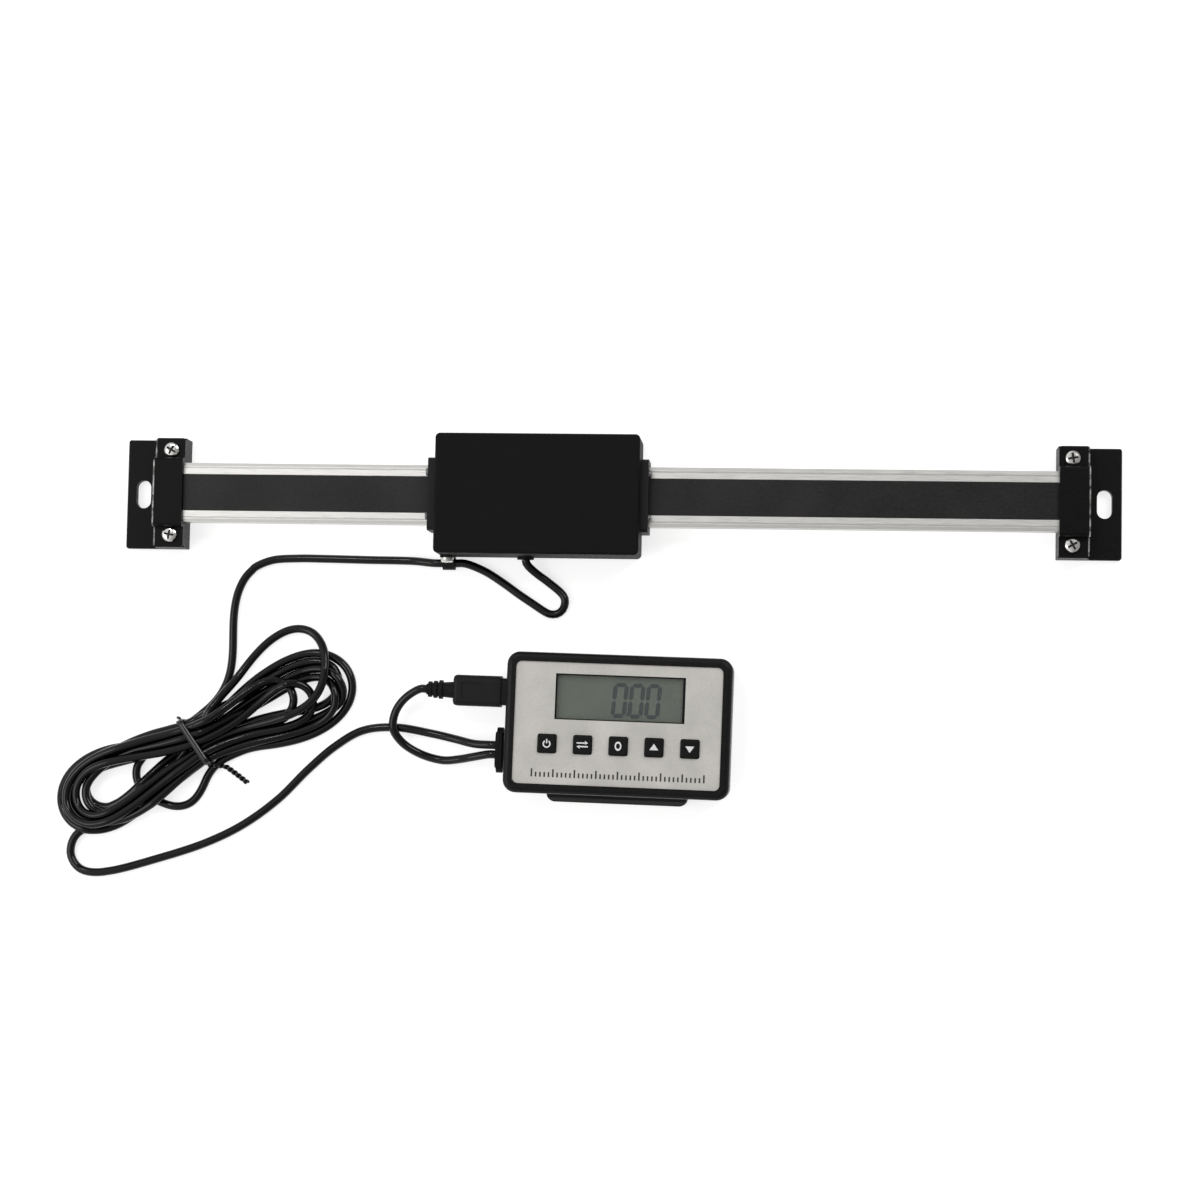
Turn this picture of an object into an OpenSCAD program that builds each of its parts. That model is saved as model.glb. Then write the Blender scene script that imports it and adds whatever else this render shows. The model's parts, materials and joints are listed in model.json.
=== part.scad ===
// Linear scale with a reading head, a corded remote display and two end brackets.
// X runs along the beam, Y across it, Z up from the mounting plane at z = 0.
// The origin is under the beam's middle. All lengths are in millimetres.

/* [Travel] */
// Stroke of the reading head along the beam
travel = 200; // [150:5:400]
// Spare beam beyond each end of the stroke
end_gap = 4.1; // [1:0.1:8]
// Place of the head along the beam, from the beam's middle
head_x = -24.4; // [-40:0.2:40]

/* [Beam] */
// Width of the beam
beam_w = 19; // [17:0.5:24]
// Thickness of the beam
beam_t = 5.8; // [5:0.1:8]
// Height of the beam's back above the mounting plane
beam_lift = 5; // [4.4:0.1:8]
// Width of the scale strip
strip_w = 11.6; // [8:0.2:13]
// Thickness of the scale strip
strip_t = 0.8; // [0.5:0.1:1.2]
// Thickness of the film that covers the scale strip
film_t = 0.15; // [0.1:0.05:0.3]
// Width of the bevel along the beam's upper edges
beam_bevel = 1; // [0.4:0.1:1.4]

/* [End brackets] */
// Length of the flange that is screwed to the machine
flange_len = 10.8; // [9:0.2:20]
// Thickness of the flange
flange_t = 2.5; // [1.5:0.1:4]
// Length of the seat that holds the beam's end
seat_len = 9.6; // [8:0.1:20]
// Height of the seat's shoulders above the beam's back
seat_grip = 3; // [1.5:0.1:4.5]
// Thickness of the wall behind the beam's end
stop_t = 1.4; // [0.8:0.1:3]
// Thickness of the clamp strap
clamp_t = 1.5; // [1:0.1:2.5]
// Metal from a clamp screw's axis to the bracket's edge
ear_margin = 4; // [3:0.1:8]
// Width of the mounting slot
slot_w = 4.8; // [3.2:0.1:6]
// Length of the mounting slot, end to end
slot_len = 9.1; // [7:0.1:16]
// Radius of a clamp screw's head
clamp_head_r = 2.45; // [2:0.05:3]
// Radius of a clamp screw's shank
clamp_shank_r = 1.25; // [0.8:0.05:1.5]

/* [Reading head] */
// Length of the head's cover
head_len = 65; // [60:0.5:90]
// From the beam's side to the outside of the cover
head_side = 9.6; // [8.8:0.1:14]
// From the beam's face to the top of the cover
head_room = 7.2; // [6.4:0.1:12]
// Gap between the head's back and the mounting plane
head_back = 1; // [0.4:0.1:1.6]
// Thickness of the cover's walls
head_wall = 1.6; // [1.2:0.1:2]
// Rounding of the cover's upper edges
head_edge = 0.8; // [0.3:0.1:1.2]
// How far a wiper guard stands out from the cover
guard_t = 2.6; // [2:0.1:5]
// Radius of the tapped mounting holes in the head's back
mount_r = 1.65; // [1.2:0.05:1.7]
// Depth of the tapped mounting holes
mount_depth = 7.5; // [4:0.5:9]
// Spacing of the mounting holes along the beam
mount_dx = 32; // [24:1:36]
// Length of one guide shoe
shoe_len = 8; // [5:0.5:9]

/* [Display] */
// Width of the display case
case_w = 71; // [68:0.5:90]
// Height of the display case
case_h = 44.3; // [43:0.1:60]
// Radius of the case's corners
case_corner = 4; // [3:0.2:5]
// Rounding of the case's front edge
case_edge = 1.6; // [0.6:0.1:2]
// Thickness of the case's walls
case_wall = 1.8; // [1.4:0.1:2.2]
// Height of the case above the surface it lies on
case_lift = 2.2; // [2:0.1:4]
// Depth of the back half of the case
back_depth = 7.8; // [7.6:0.1:14]
// Depth of the front half of the case
front_depth = 7.4; // [7.2:0.1:12]
// Width of the rim round the face plate
bezel_w = 3; // [2.4:0.1:4]
// Height of the rim above the face plate
rim_h = 0.5; // [0.2:0.1:0.8]
// Width of the display window
window_w = 40.8; // [30:0.2:42]
// Height of the display window
window_h = 14.4; // [10:0.2:15]
// Side of a square key
key_size = 5.7; // [4:0.1:7]
// Spacing of the keys
key_pitch = 11.2; // [9:0.1:12.5]
// How far a key can be pressed
key_stroke = 0.6; // [0.3:0.1:0.7]
// How far a key stands above the face plate
key_proud = 1; // [0.8:0.1:2]
// Turn of the display on the surface, in degrees
case_turn = -1.2; // [-10:0.1:10]
// Radius of the coin cell
cell_r = 10; // [8:0.1:10]
// Thickness of the coin cell
cell_t = 3.2; // [2:0.1:3.2]
// Width of the display's foot
foot_w = 44.4; // [34:0.2:50]
// How far the foot shows below the case
foot_out = 2.5; // [2:0.1:8]
// Radius of a magnet in the case's back
magnet_r = 5; // [3:0.1:5.5]

/* [Cable] */
// Diameter of the cable
cable_d = 2.7; // [2.2:0.1:2.8]

/* [Hidden] */
$fn = 48;

// Clearances
seat_fit = 0.1;      // between the beam and its seat
slide_fit = 0.15;    // between the beam and the guide shoes or wipers
run_gap = 0.4;       // between the beam and the rest of the head
screw_fit = 0.03;    // round a screw's shank
part_fit = 0.1;      // between pieces that sit in each other
key_fit = 0.2;       // round a key
cord_fit = 0.02;     // from a cord's end to its gland
eps = 1;             // how far a cut runs past a face

// Beam
beam_z0 = beam_lift;
beam_z1 = beam_lift + beam_t;
beam_half = beam_w / 2;
recess_depth = strip_t + film_t + 0.05;
strip_z0 = beam_z1 - recess_depth;
inner_half = (travel + head_len) / 2 + end_gap + guard_t;   // to the clamps' inner edges
beam_len = 2 * (inner_half + seat_len - stop_t - seat_fit);

// End brackets
seat_half = beam_half + seat_fit;
seat_z1 = beam_z0 + seat_grip;
clamp_screw_x = inner_half + 4.2;
clamp_screw_y = seat_half + clamp_t + clamp_head_r + part_fit;
bracket_half = clamp_screw_y + ear_margin;
slot_x = inner_half + seat_len + flange_len / 2;
bracket_edge = 0.4;                                          // chamfer on the brackets

// Reading head, along X from its own middle
head_half = beam_half + head_side;
head_z1 = beam_z1 + head_room;
head_z0 = head_back + 0.2;
base_len = head_len - 2 * (head_wall + part_fit);
base_half = head_half - head_wall - part_fit;
base_floor = beam_z0 - run_gap;
rail_half = beam_half + 0.3;
rail_mid = (rail_half + base_half) / 2;
board_z0 = beam_z1 + 0.8;
sensor_board_t = 1;
shoe_depth = 1.4;
shoe_x = base_len / 2 - shoe_len / 2;
boss_r = 2.2;
boss_x = base_len / 2 - 4.6;
boss_y = base_half - 2.5;
sensor_board_len = 2 * (boss_x - boss_r - 0.4);
sensor_board_half = base_half - 0.7;
board_screw_x = sensor_board_len / 2 - 3.1;
board_screw_y = sensor_board_half - 2.4;
board_shank_r = 0.97;
board_head_r = 1.8;
board_head_h = 1.2;
board_bite = 2.6;                                            // screw's reach into a rail
lead_notch_w = 4;
chip_w = 9;
chip_t = 1.4;
chip_x = 6;
header_w = 9;
header_l = 4.6;
header_h = 3.2;
guard_half = beam_half + 2.1;
guard_z0 = head_back + 0.8;
guard_z1 = beam_z1 + 3.7;
guard_screw_y = beam_half - 2.5;
guard_screw_z = beam_z1 + 2.2;
guard_shank_r = 0.7;
wiper_t = 1;
wiper_half = beam_half + 1.4;
wiper_z0 = guard_z0 + 1.4;
wiper_z1 = beam_z1 + 1.3;
cover_gap_half = beam_half + 0.9;
cover_gap_z = beam_z1 + 0.5;
exit_dx = -4.4;                                              // cable exit, from the head's middle
exit_z = 4.6;
grommet_r = 2.7;
grommet_neck_r = 2;
grommet_lip = 0.8;
clip_dx = 3.3 - head_len / 2;
clip_w = 4;
clip_t = 0.8;
clip_z = cable_d / 2 + clip_t + 0.4;
clip_screw_z = 7.9;
clip_shank_r = 1.25;

// Display, in its own frame: x and y from the case's middle
case_x = 2.5;
case_y = -72.55;
case_z0 = case_lift;
split_z = case_z0 + back_depth;
case_z1 = split_z + front_depth;
face_t = 0.4;
face_z1 = case_z1 - rim_h;
face_z0 = face_z1 - face_t;
front_wall = 1.4;
front_under = face_z0 - front_wall;
face_size = [case_w - 2 * bezel_w, case_h - 2 * bezel_w];
face_corner = 1.8;
panel_dx = 0.5;                                              // window and keys, from the middle
window_y = 8.45;
lens_t = 0.8;
lcd_t = 2.1;
lcd_size = [window_w + 5, window_h + 4.4];
display_board_t = 1.6;
display_board_z0 = split_z - 0.3;
display_board_z1 = display_board_z0 + display_board_t;
lcd_z0 = front_under - part_fit - lcd_t;
post_r = 2.5;
post_x = case_w / 2 - case_wall - post_r;
post_y = case_h / 2 - case_wall - post_r;
case_shank_r = 1;
case_head_r = 1.9;
key_y = -6.45;
key_lip = 0.7;
key_lip_w = 0.8;
key_lip_z0 = front_under - 0.15 - key_lip;
key_xs = [for (i = [-2 : 2]) panel_dx + i * key_pitch];
switch_top = key_lip_z0 - key_stroke - 0.1;
switch_w = 6;
switch_cap_r = 1.6;
back_floor = case_z0 + case_wall;
door_half = 12;
door_t = 1.4;
door_tongue = 1;
grip_w = 12;
grip_pitch = 1.5;
door_y0 = -2.6;
door_fit = 0.15;
cell_y = door_y0 + 0.6 + cell_r;
cell_z0 = case_z0 + door_t + 0.3;
magnet_x = post_x - post_r - magnet_r + 0.2;
magnet_y = 12;
magnet_seat = 1;
foot_y1 = -4.5;
foot_lip = 6.3;
foot_screw_x = 14;
foot_screw_y = -13;
foot_shank_r = 1.1;
foot_head_r = 2.2;
foot_head_h = 1.3;
foot_bite = 5;                                               // screw's reach into the case
foot_post_r = 2.4;

// Plug and socket, in the display's frame
plug_y = 9.4;
socket_h = 3.8;
socket_w = 7.7;
socket_len = 8.8;
plug_z = display_board_z0 - socket_h / 2;
sheet_t = 0.3;
plug_shell_w = socket_w - 2 * sheet_t - 2 * part_fit;
plug_shell_h = socket_h - 2 * sheet_t - 2 * part_fit;
plug_gap = 0.3;                                              // from the plug to the case
nose_len = 2.1;
plug_face_x = -case_w / 2 - plug_gap - nose_len;
shell_len = 10.2;
plug_len = 15.2;
plug_w = 9.8;
plug_h = 7.6;
relief_neck = 3.6;
relief_len = 8.8;
relief_r = 3;
plug_end_x = plug_face_x - plug_len - relief_len;

// Cable gland on the display's side
gland_y = -9.05;
gland_z = 6.6;
gland_out = 3.6;
gland_w = 14.4;
gland_h = 7.4;
cord_gap = 3;                                                // between the two cords in the gland
gland_x = -case_w / 2 - gland_out;

function display_point(x, y, z) = [
    case_x + x * cos(case_turn) - y * sin(case_turn),
    case_y + x * sin(case_turn) + y * cos(case_turn), z];

// Hank: two round lobes and a waist under the tie
hank_left = [-167.4, -98.6];
hank_left_r = 12.9;
hank_right = [-94.6, -62.6];
hank_right_r = 13;
hank_waist = [-134.4, -80.6];
hank_waist_half = 7.9;
hank_h = 3 * cable_d;
hank_dir = (hank_right - hank_left) / norm(hank_right - hank_left);
hank_side = [-hank_dir.y, hank_dir.x];
tie_w = 2;
tie_t = 0.6;

// Cable routes, chosen by hand
cable_z = cable_d / 2;
head_half_y = -head_half;
clip_y = head_half_y - cable_d / 2 - clip_t;
head_route = [
    [head_x + exit_dx, head_half_y - grommet_lip, exit_z],
    [head_x + exit_dx, head_half_y - grommet_lip - 1.6, exit_z],
    [-26.9, -24.2, 3.1],
    [-22.4, -27.2, 1.8],
    [-18.2, -29.8, cable_z],
    [-16.1, -32.5, cable_z],
    [-17.2, -35.5, cable_z],
    [-20.8, -36.3, cable_z],
    [-25.8, -34.2, cable_z],
    [-31, -30.9, cable_z],
    [-36.2, -27.5, cable_z],
    [-42.4, -23.7, 1.6],
    [head_x + clip_dx + 5, clip_y, clip_z],
    [head_x + clip_dx + 2.1, clip_y, clip_z],
    [head_x + clip_dx - 2.1, clip_y, clip_z],
    [head_x + clip_dx - 5, clip_y, clip_z],
    [-65, -20.6, 1.4],
    [-80, -20.4, cable_z],
    [-95, -20.2, cable_z],
    [-103, -20.2, cable_z],
    [-110, -21.8, cable_z],
    [-116, -25.4, cable_z],
    [-120.2, -30.8, cable_z],
    [-122.6, -37.2, cable_z],
    [-124, -46, cable_z],
    [-125.6, -57.4, cable_z],
    [-126.4, -65.8, cable_z]];
display_route = [
    [-173.36, -110.15, cable_z],
    [-174.8, -113.6, cable_z],
    [-174.6, -119, cable_z],
    [-170.6, -122.2, cable_z],
    [-163, -122.2, cable_z],
    [-146, -117.6, cable_z],
    [-130.4, -112.2, cable_z],
    [-118.6, -106.2, cable_z],
    [-107.4, -97.8, cable_z],
    [-98, -88.2, cable_z],
    [-89.4, -80.6, cable_z],
    [-80.6, -75.4, cable_z],
    [-70, -74.2, cable_z],
    [-58, -76, cable_z],
    [-50.4, -77.6, 2.4],
    [-44, -79, 5],
    display_point(gland_x - 2, gland_y + cord_gap / 2, gland_z),
    display_point(gland_x - cord_fit, gland_y + cord_gap / 2, gland_z)];
plug_route = [
    display_point(plug_end_x, plug_y, plug_z),
    display_point(plug_end_x - 2, plug_y, plug_z),
    [-66.4, -65, 6.6],
    [-69.6, -69.6, 5.2],
    [-70.2, -74.6, 4.6],
    [-67.6, -78.8, 3],
    [-62, -82.4, 1.5],
    [-54.6, -84.4, 1.5],
    [-49, -84, 3],
    [-44.4, -83.2, 5.2],
    display_point(gland_x - 2, gland_y - cord_gap / 2, gland_z),
    display_point(gland_x - cord_fit, gland_y - cord_gap / 2, gland_z)];

// ---------- helpers ----------

// Flat rounded rectangle about the origin
module rounded_rect(size, r) {
    square([size.x - 2 * r, size.y], center = true);
    square([size.x, size.y - 2 * r], center = true);
    for (sx = [-1, 1], sy = [-1, 1])
        translate([sx * (size.x / 2 - r), sy * (size.y / 2 - r)]) circle(r);
}

// Upright block with rounded corners between two heights
module rounded_block(size, r, z0, z1) {
    translate([0, 0, z0]) linear_extrude(z1 - z0) rounded_rect(size, r);
}

// Upright block whose upper edges are rounded too
module soft_block(size, corner, edge, z0, z1) {
    hull() for (sx = [-1, 1], sy = [-1, 1])
        translate([sx * (size.x / 2 - corner), sy * (size.y / 2 - corner), z0])
            for (a = [0 : 30 : 90])
                cylinder(r = corner - edge * (1 - cos(a)),
                    h = z1 - z0 - edge * (1 - sin(a)), $fn = 32);
}

// Profile in Y and Z, drawn out along X
module along_x(x0, x1) {
    translate([x0, 0, 0]) rotate([90, 0, 90]) linear_extrude(x1 - x0) children();
}

// Round bar along X, Y or Z
module bar_x(x0, x1, r) { translate([x0, 0, 0]) rotate([0, 90, 0]) cylinder(r = r, h = x1 - x0); }
module bar_y(y0, y1, r) { translate([0, y1, 0]) rotate([90, 0, 0]) cylinder(r = r, h = y1 - y0); }

// Cross recess of a screw's head, cut down from z = 0
module cross_recess(r, depth) {
    for (a = [45, 135]) rotate([0, 0, a])
        translate([-r * 0.66, -r * 0.14, -depth]) cube([r * 1.32, r * 0.28, depth + eps]);
}

// Pan head screw: the head stands on z = 0, the shank goes down
module pan_screw(head_r, head_h, shank_r, shank_len) {
    difference() {
        rotate_extrude() polygon([
            [0, -shank_len], [shank_r * 0.7, -shank_len], [shank_r, -shank_len + shank_r * 0.3],
            [shank_r, 0], [head_r, 0], [head_r, head_h * 0.45], [head_r * 0.92, head_h * 0.75],
            [head_r * 0.72, head_h * 0.94], [head_r * 0.45, head_h], [0, head_h]]);
        translate([0, 0, head_h]) cross_recess(head_r, head_h * 0.55);
    }
}

// Flat head screw: the head's face is at z = 0, the shank goes down
module flat_screw(head_r, head_h, shank_r, shank_len) {
    difference() {
        rotate_extrude() polygon([
            [0, -shank_len], [shank_r, -shank_len], [shank_r, -head_h], [head_r, -0.2],
            [head_r, 0], [0, 0]]);
        cross_recess(head_r, head_h * 0.55);
    }
}

// Direction of a route at one of its points, along the chord past it
function direction_at(p, i) = let (v = p[min(i + 1, len(p) - 1)] - p[max(i - 1, 0)]) v / norm(v);
// Corners of a ring across a direction
function ring_at(centre, dir, r, sides) = let (
    s = cross(dir, [0, 0, 1]), side = s / norm(s), up = cross(side, dir))
    [for (k = [0 : sides - 1]) centre + r * (cos(360 * k / sides) * side
        + sin(360 * k / sides) * up)];

// Cable along a route: a ring at each of its points, joined into one skin
module cable(route) {
    sides = 8;
    n = len(route);
    rings = [for (i = [0 : n - 1]) ring_at(route[i], direction_at(route, i), cable_d / 2, sides)];
    polyhedron(
        points = [for (ring = rings) for (p = ring) p],
        faces = concat(
            [[for (k = [sides - 1 : -1 : 0]) k]],
            [[for (k = [0 : sides - 1]) (n - 1) * sides + k]],
            [for (i = [0 : n - 2], k = [0 : sides - 1]) let (j = (k + 1) % sides)
                [i * sides + k, i * sides + j, (i + 1) * sides + j, (i + 1) * sides + k]]));
}

module in_head() { translate([head_x, 0, 0]) children(); }
module in_display() { translate([case_x, case_y, 0]) rotate([0, 0, case_turn]) children(); }

// ---------- beam ----------

module beam() {
    groove = 0.6;
    mid = beam_t / 2;
    relief_half = beam_w * 0.22;
    color("silver") along_x(-beam_len / 2, beam_len / 2) translate([0, beam_z0]) difference() {
        polygon([
            [-beam_half + 0.4, 0], [-relief_half - 0.6, 0], [-relief_half, 0.6],
            [relief_half, 0.6], [relief_half + 0.6, 0], [beam_half - 0.4, 0],
            [beam_half, 0.4], [beam_half, mid - 1], [beam_half - groove, mid - 0.6],
            [beam_half - groove, mid + 0.6], [beam_half, mid + 1],
            [beam_half, beam_t - 0.5], [beam_half - beam_bevel, beam_t],
            [-beam_half + beam_bevel, beam_t], [-beam_half, beam_t - 0.5],
            [-beam_half, mid + 1], [-beam_half + groove, mid + 0.6],
            [-beam_half + groove, mid - 0.6], [-beam_half, mid - 1], [-beam_half, 0.4]]);
        translate([-strip_w / 2 - seat_fit, beam_t - recess_depth])
            square([strip_w + 2 * seat_fit, recess_depth + eps]);
        for (s = [-1, 1]) translate([s * (beam_half - beam_bevel - 0.5), beam_t])
            rotate(45) square(0.35, center = true);
    }
}

module scale_strip() {
    color("#2b2d2f") translate([-beam_len / 2, -strip_w / 2, strip_z0])
        cube([beam_len, strip_w, strip_t]);
}

module strip_film() {
    color("#3a3c3e") translate([-beam_len / 2, -strip_w / 2, strip_z0 + strip_t])
        cube([beam_len, strip_w, film_t]);
}

// ---------- end brackets, drawn for the right end ----------

module end_bracket() {
    x0 = inner_half;
    x1 = x0 + seat_len;
    x2 = x1 + flange_len;
    e = bracket_edge;
    color("#17181a") difference() {
        translate([0, bracket_half, 0]) rotate([90, 0, 0]) linear_extrude(2 * bracket_half)
            polygon([[x0, 0], [x2 - e, 0], [x2, e], [x2, flange_t - e], [x2 - e, flange_t],
                [x1 + 2 * e, flange_t], [x1, flange_t + 2 * e], [x1, seat_z1], [x0, seat_z1]]);
        translate([x0 - eps, -seat_half, beam_z0])
            cube([seat_len - stop_t + eps, 2 * seat_half, seat_grip + eps]);
        for (s = [-1, 1]) translate([clamp_screw_x, s * clamp_screw_y, flange_t - 1])
            cylinder(r = clamp_shank_r + screw_fit, h = seat_z1);
        translate([slot_x, 0, -eps]) linear_extrude(flange_t + 2 * eps)
            rounded_rect([slot_w, slot_len], slot_w / 2 - 0.01);
        for (s = [-1, 1]) translate([x2, s * bracket_half, -eps]) rotate([0, 0, 45])
            cube([2 * e, 2 * e, 2 * (flange_t + eps) + 2], center = true);
    }
}

module end_clamp() {
    x0 = inner_half;
    w = seat_half + clamp_t;
    top = beam_z1 + clamp_t;
    ear_top = seat_z1 + clamp_t;
    e = bracket_edge;
    color("#141517") difference() {
        along_x(x0, x0 + seat_len) polygon([
            [-bracket_half, seat_z1], [-seat_half, seat_z1], [-seat_half, beam_z1],
            [seat_half, beam_z1], [seat_half, seat_z1], [bracket_half, seat_z1],
            [bracket_half, ear_top - e], [bracket_half - e, ear_top], [w, ear_top],
            [w, top - 0.9], [w - 0.35, top - 0.25], [w - 1, top],
            [-w + 1, top], [-w + 0.35, top - 0.25], [-w, top - 0.9],
            [-w, ear_top], [-bracket_half + e, ear_top], [-bracket_half, ear_top - e]]);
        for (s = [-1, 1]) translate([clamp_screw_x, s * clamp_screw_y, seat_z1 - eps])
            cylinder(r = clamp_shank_r + screw_fit, h = clamp_t + 2 * eps);
        for (sx = [0, 1], sy = [-1, 1])
            translate([x0 + sx * seat_len, sy * bracket_half, seat_z1]) rotate([0, 0, 45])
                cube([2.4 * e, 2.4 * e, 2 * (clamp_t + eps)], center = true);
    }
}

module left_bracket() { mirror([1, 0, 0]) end_bracket(); }
module right_bracket() { end_bracket(); }
module left_clamp() { mirror([1, 0, 0]) end_clamp(); }
module right_clamp() { end_clamp(); }

module clamp_screws() {
    color("gainsboro") for (sx = [-1, 1], sy = [-1, 1])
        translate([sx * clamp_screw_x, sy * clamp_screw_y, seat_z1 + clamp_t])
            rotate([0, 0, 20 * sx + 35 * sy])
                pan_screw(clamp_head_r, 1.7, clamp_shank_r, clamp_t + seat_grip + beam_lift
                    - flange_t + 0.6);
}

// ---------- reading head ----------

module head_base() {
    color("#1d1e20") in_head() difference() {
        along_x(-base_len / 2, base_len / 2) polygon([
            [-base_half, head_back], [base_half, head_back], [base_half, board_z0],
            [rail_half, board_z0], [rail_half, base_floor], [-rail_half, base_floor],
            [-rail_half, board_z0], [-base_half, board_z0]]);
        for (sx = [-1, 1], sy = [-1, 1]) {
            shoe_pocket(sx, sy);
            translate([sx * boss_x, sy * boss_y, head_back - eps])
                cylinder(r = 1 + part_fit, h = board_z0);
            translate([sx * boss_x, sy * boss_y, head_back])
                rotate_extrude() polygon([[0, -eps], [2, -eps], [2, 0.2], [1, 1.1], [0, 1.1]]);
            translate([sx * board_screw_x, sy * board_screw_y, board_z0 - board_bite - 0.3])
                cylinder(r = board_shank_r + screw_fit, h = board_bite + 0.4);
            translate([sx * mount_dx / 2, sy * rail_mid, head_back - eps])
                cylinder(r = mount_r, h = mount_depth + eps);
        }
        spring_seat();
        translate([exit_dx - 3, -base_half - eps, exit_z - 3]) cube([6, 5 + eps, board_z0]);
        translate([clip_dx, 0, clip_screw_z])
            bar_y(-base_half - eps, -base_half + 2.4, clip_shank_r + screw_fit);
    }
}

// Pocket for one guide shoe in a rail
module shoe_pocket(sx, sy) {
    half = shoe_len / 2 + 0.05;
    depth = shoe_depth + 0.05 + eps;
    translate([sx * (shoe_x - 0.05), sy * (rail_half + shoe_depth + 0.05 - depth / 2),
        (base_floor - 0.65 + board_z0 + eps) / 2])
        cube([2 * half, depth, board_z0 + eps - base_floor + 0.65], center = true);
    translate([sx * (shoe_x - 0.05), sy * (beam_half - 2), base_floor - 0.65 + 0.5])
        cube([2 * half, 5, 1], center = true);
}

// Groove for the leaf spring in the upper rail
module spring_seat() {
    translate([-spring_half - 0.6, rail_half - eps, beam_z0 + 1])
        cube([2 * spring_half + 1.2, 0.9 + eps, beam_t - 2]);
}
spring_half = shoe_x - shoe_len / 2 - 3;

module guide_shoes() {
    outer = rail_half + shoe_depth;
    side = beam_half + slide_fit;
    lip = beam_half - beam_bevel - 0.8;
    low = base_floor - 0.6;
    color("ivory") in_head() for (sx = [-1, 1], sy = [-1, 1])
        along_x(sx * (shoe_x - 0.05) - shoe_len / 2, sx * (shoe_x - 0.05) + shoe_len / 2)
            polygon([for (p = [
                [lip, low], [outer, low], [outer, board_z0 - 0.05], [lip, board_z0 - 0.05],
                [lip, beam_z1 + slide_fit], [side, beam_z1 + slide_fit],
                [side, beam_z0 - slide_fit], [lip, beam_z0 - slide_fit]]) [sy * p.x, p.y]]);
}

module leaf_spring() {
    t = 0.3;
    sag = 0.55;
    n = 12;
    back = rail_half + 0.85;
    function bow(x) = back - t - sag * (1 - pow(x / spring_half, 2));
    xs = [for (i = [0 : n]) -spring_half + 2 * spring_half * i / n];
    color("lightsteelblue") in_head() translate([0, 0, beam_z0 + 1.3]) linear_extrude(beam_t - 2.6)
        polygon(concat([for (x = xs) [x, bow(x)]],
            [for (i = [n : -1 : 0]) [xs[i], bow(xs[i]) + t]]));
}

module head_cover() {
    size = [head_len, 2 * head_half];
    inner = [head_len - 2 * head_wall, 2 * (head_half - head_wall)];
    roof = head_z1 - head_wall;
    color("#1b1b1d") in_head() difference() {
        union() {
            difference() {
                soft_block(size, head_edge + 0.7, head_edge, head_z0, head_z1);
                rounded_block(inner, 0.2, head_z0 - eps, roof);
            }
            for (sx = [-1, 1], sy = [-1, 1]) translate([sx * boss_x, sy * boss_y, board_z0])
                cylinder(r = boss_r, h = roof - board_z0 + 0.4);
        }
        for (sx = [-1, 1], sy = [-1, 1]) translate([sx * boss_x, sy * boss_y, board_z0 - eps])
            cylinder(r = 1 + screw_fit, h = roof - board_z0);
        translate([-head_len / 2 - eps, -cover_gap_half, head_z0 - eps])
            cube([head_len + 2 * eps, 2 * cover_gap_half, cover_gap_z - head_z0 + eps]);
        for (sx = [-1, 1], sy = [-1, 1]) translate([0, sy * guard_screw_y, guard_screw_z])
            bar_x(sx * head_len / 2 - head_wall - 0.5, sx * head_len / 2 + head_wall + 0.5,
                guard_shank_r + screw_fit);
        translate([exit_dx, 0, exit_z])
            bar_y(-head_half - eps, -head_half + head_wall + eps, grommet_neck_r + screw_fit);
        translate([clip_dx, 0, clip_screw_z])
            bar_y(-head_half - eps, -head_half + head_wall + eps, clip_shank_r + part_fit);
    }
}

module cover_screws() {
    color("dimgray") in_head() for (sx = [-1, 1], sy = [-1, 1])
        translate([sx * boss_x, sy * boss_y, head_back + 0.05]) rotate([180, 0, 0])
            flat_screw(1.9, 1, 1, head_z1 - head_wall - head_back - 2);
}

// Guard frame round the beam at one end of the head, with a seat for the wiper
module wiper_guard(sx) {
    x0 = head_len / 2;
    gap = 0.3;
    mid_z = (guard_z0 + guard_z1) / 2;
    color("#232426") in_head() mirror([sx < 0 ? 1 : 0, 0, 0]) difference() {
        along_x(x0, x0 + guard_t) translate([0, mid_z])
            rounded_rect([2 * guard_half, guard_z1 - guard_z0], 1.2);
        along_x(x0 - eps, x0 + guard_t + eps)
            translate([-beam_half - gap, beam_z0 - gap]) square([beam_w + 2 * gap, beam_t + 2 * gap]);
        along_x(x0 - eps, x0 + wiper_t + 0.05)
            translate([-wiper_half - 0.05, wiper_z0 - 0.05])
                square([2 * wiper_half + 0.1, wiper_z1 - wiper_z0 + 0.1]);
        for (sy = [-1, 1]) translate([0, sy * guard_screw_y, guard_screw_z])
            bar_x(x0 - eps, x0 + guard_t + eps, guard_shank_r + screw_fit);
    }
}
module left_guard() { wiper_guard(-1); }
module right_guard() { wiper_guard(1); }

module wiper_pad(sx) {
    x0 = head_len / 2;
    color("#3a3a36") in_head() mirror([sx < 0 ? 1 : 0, 0, 0]) along_x(x0, x0 + wiper_t) difference() {
        translate([-wiper_half, wiper_z0]) square([2 * wiper_half, wiper_z1 - wiper_z0]);
        translate([-beam_half - slide_fit, beam_z0 - slide_fit])
            square([beam_w + 2 * slide_fit, beam_t + 2 * slide_fit]);
    }
}
module left_wiper() { wiper_pad(-1); }
module right_wiper() { wiper_pad(1); }

module guard_screws() {
    color("gray") in_head() for (sx = [-1, 1], sy = [-1, 1])
        translate([sx * (head_len / 2 + guard_t), sy * guard_screw_y, guard_screw_z])
            rotate([0, sx * 90, 0]) pan_screw(1.3, 0.8, guard_shank_r, guard_t + head_wall - 0.1);
}

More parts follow.
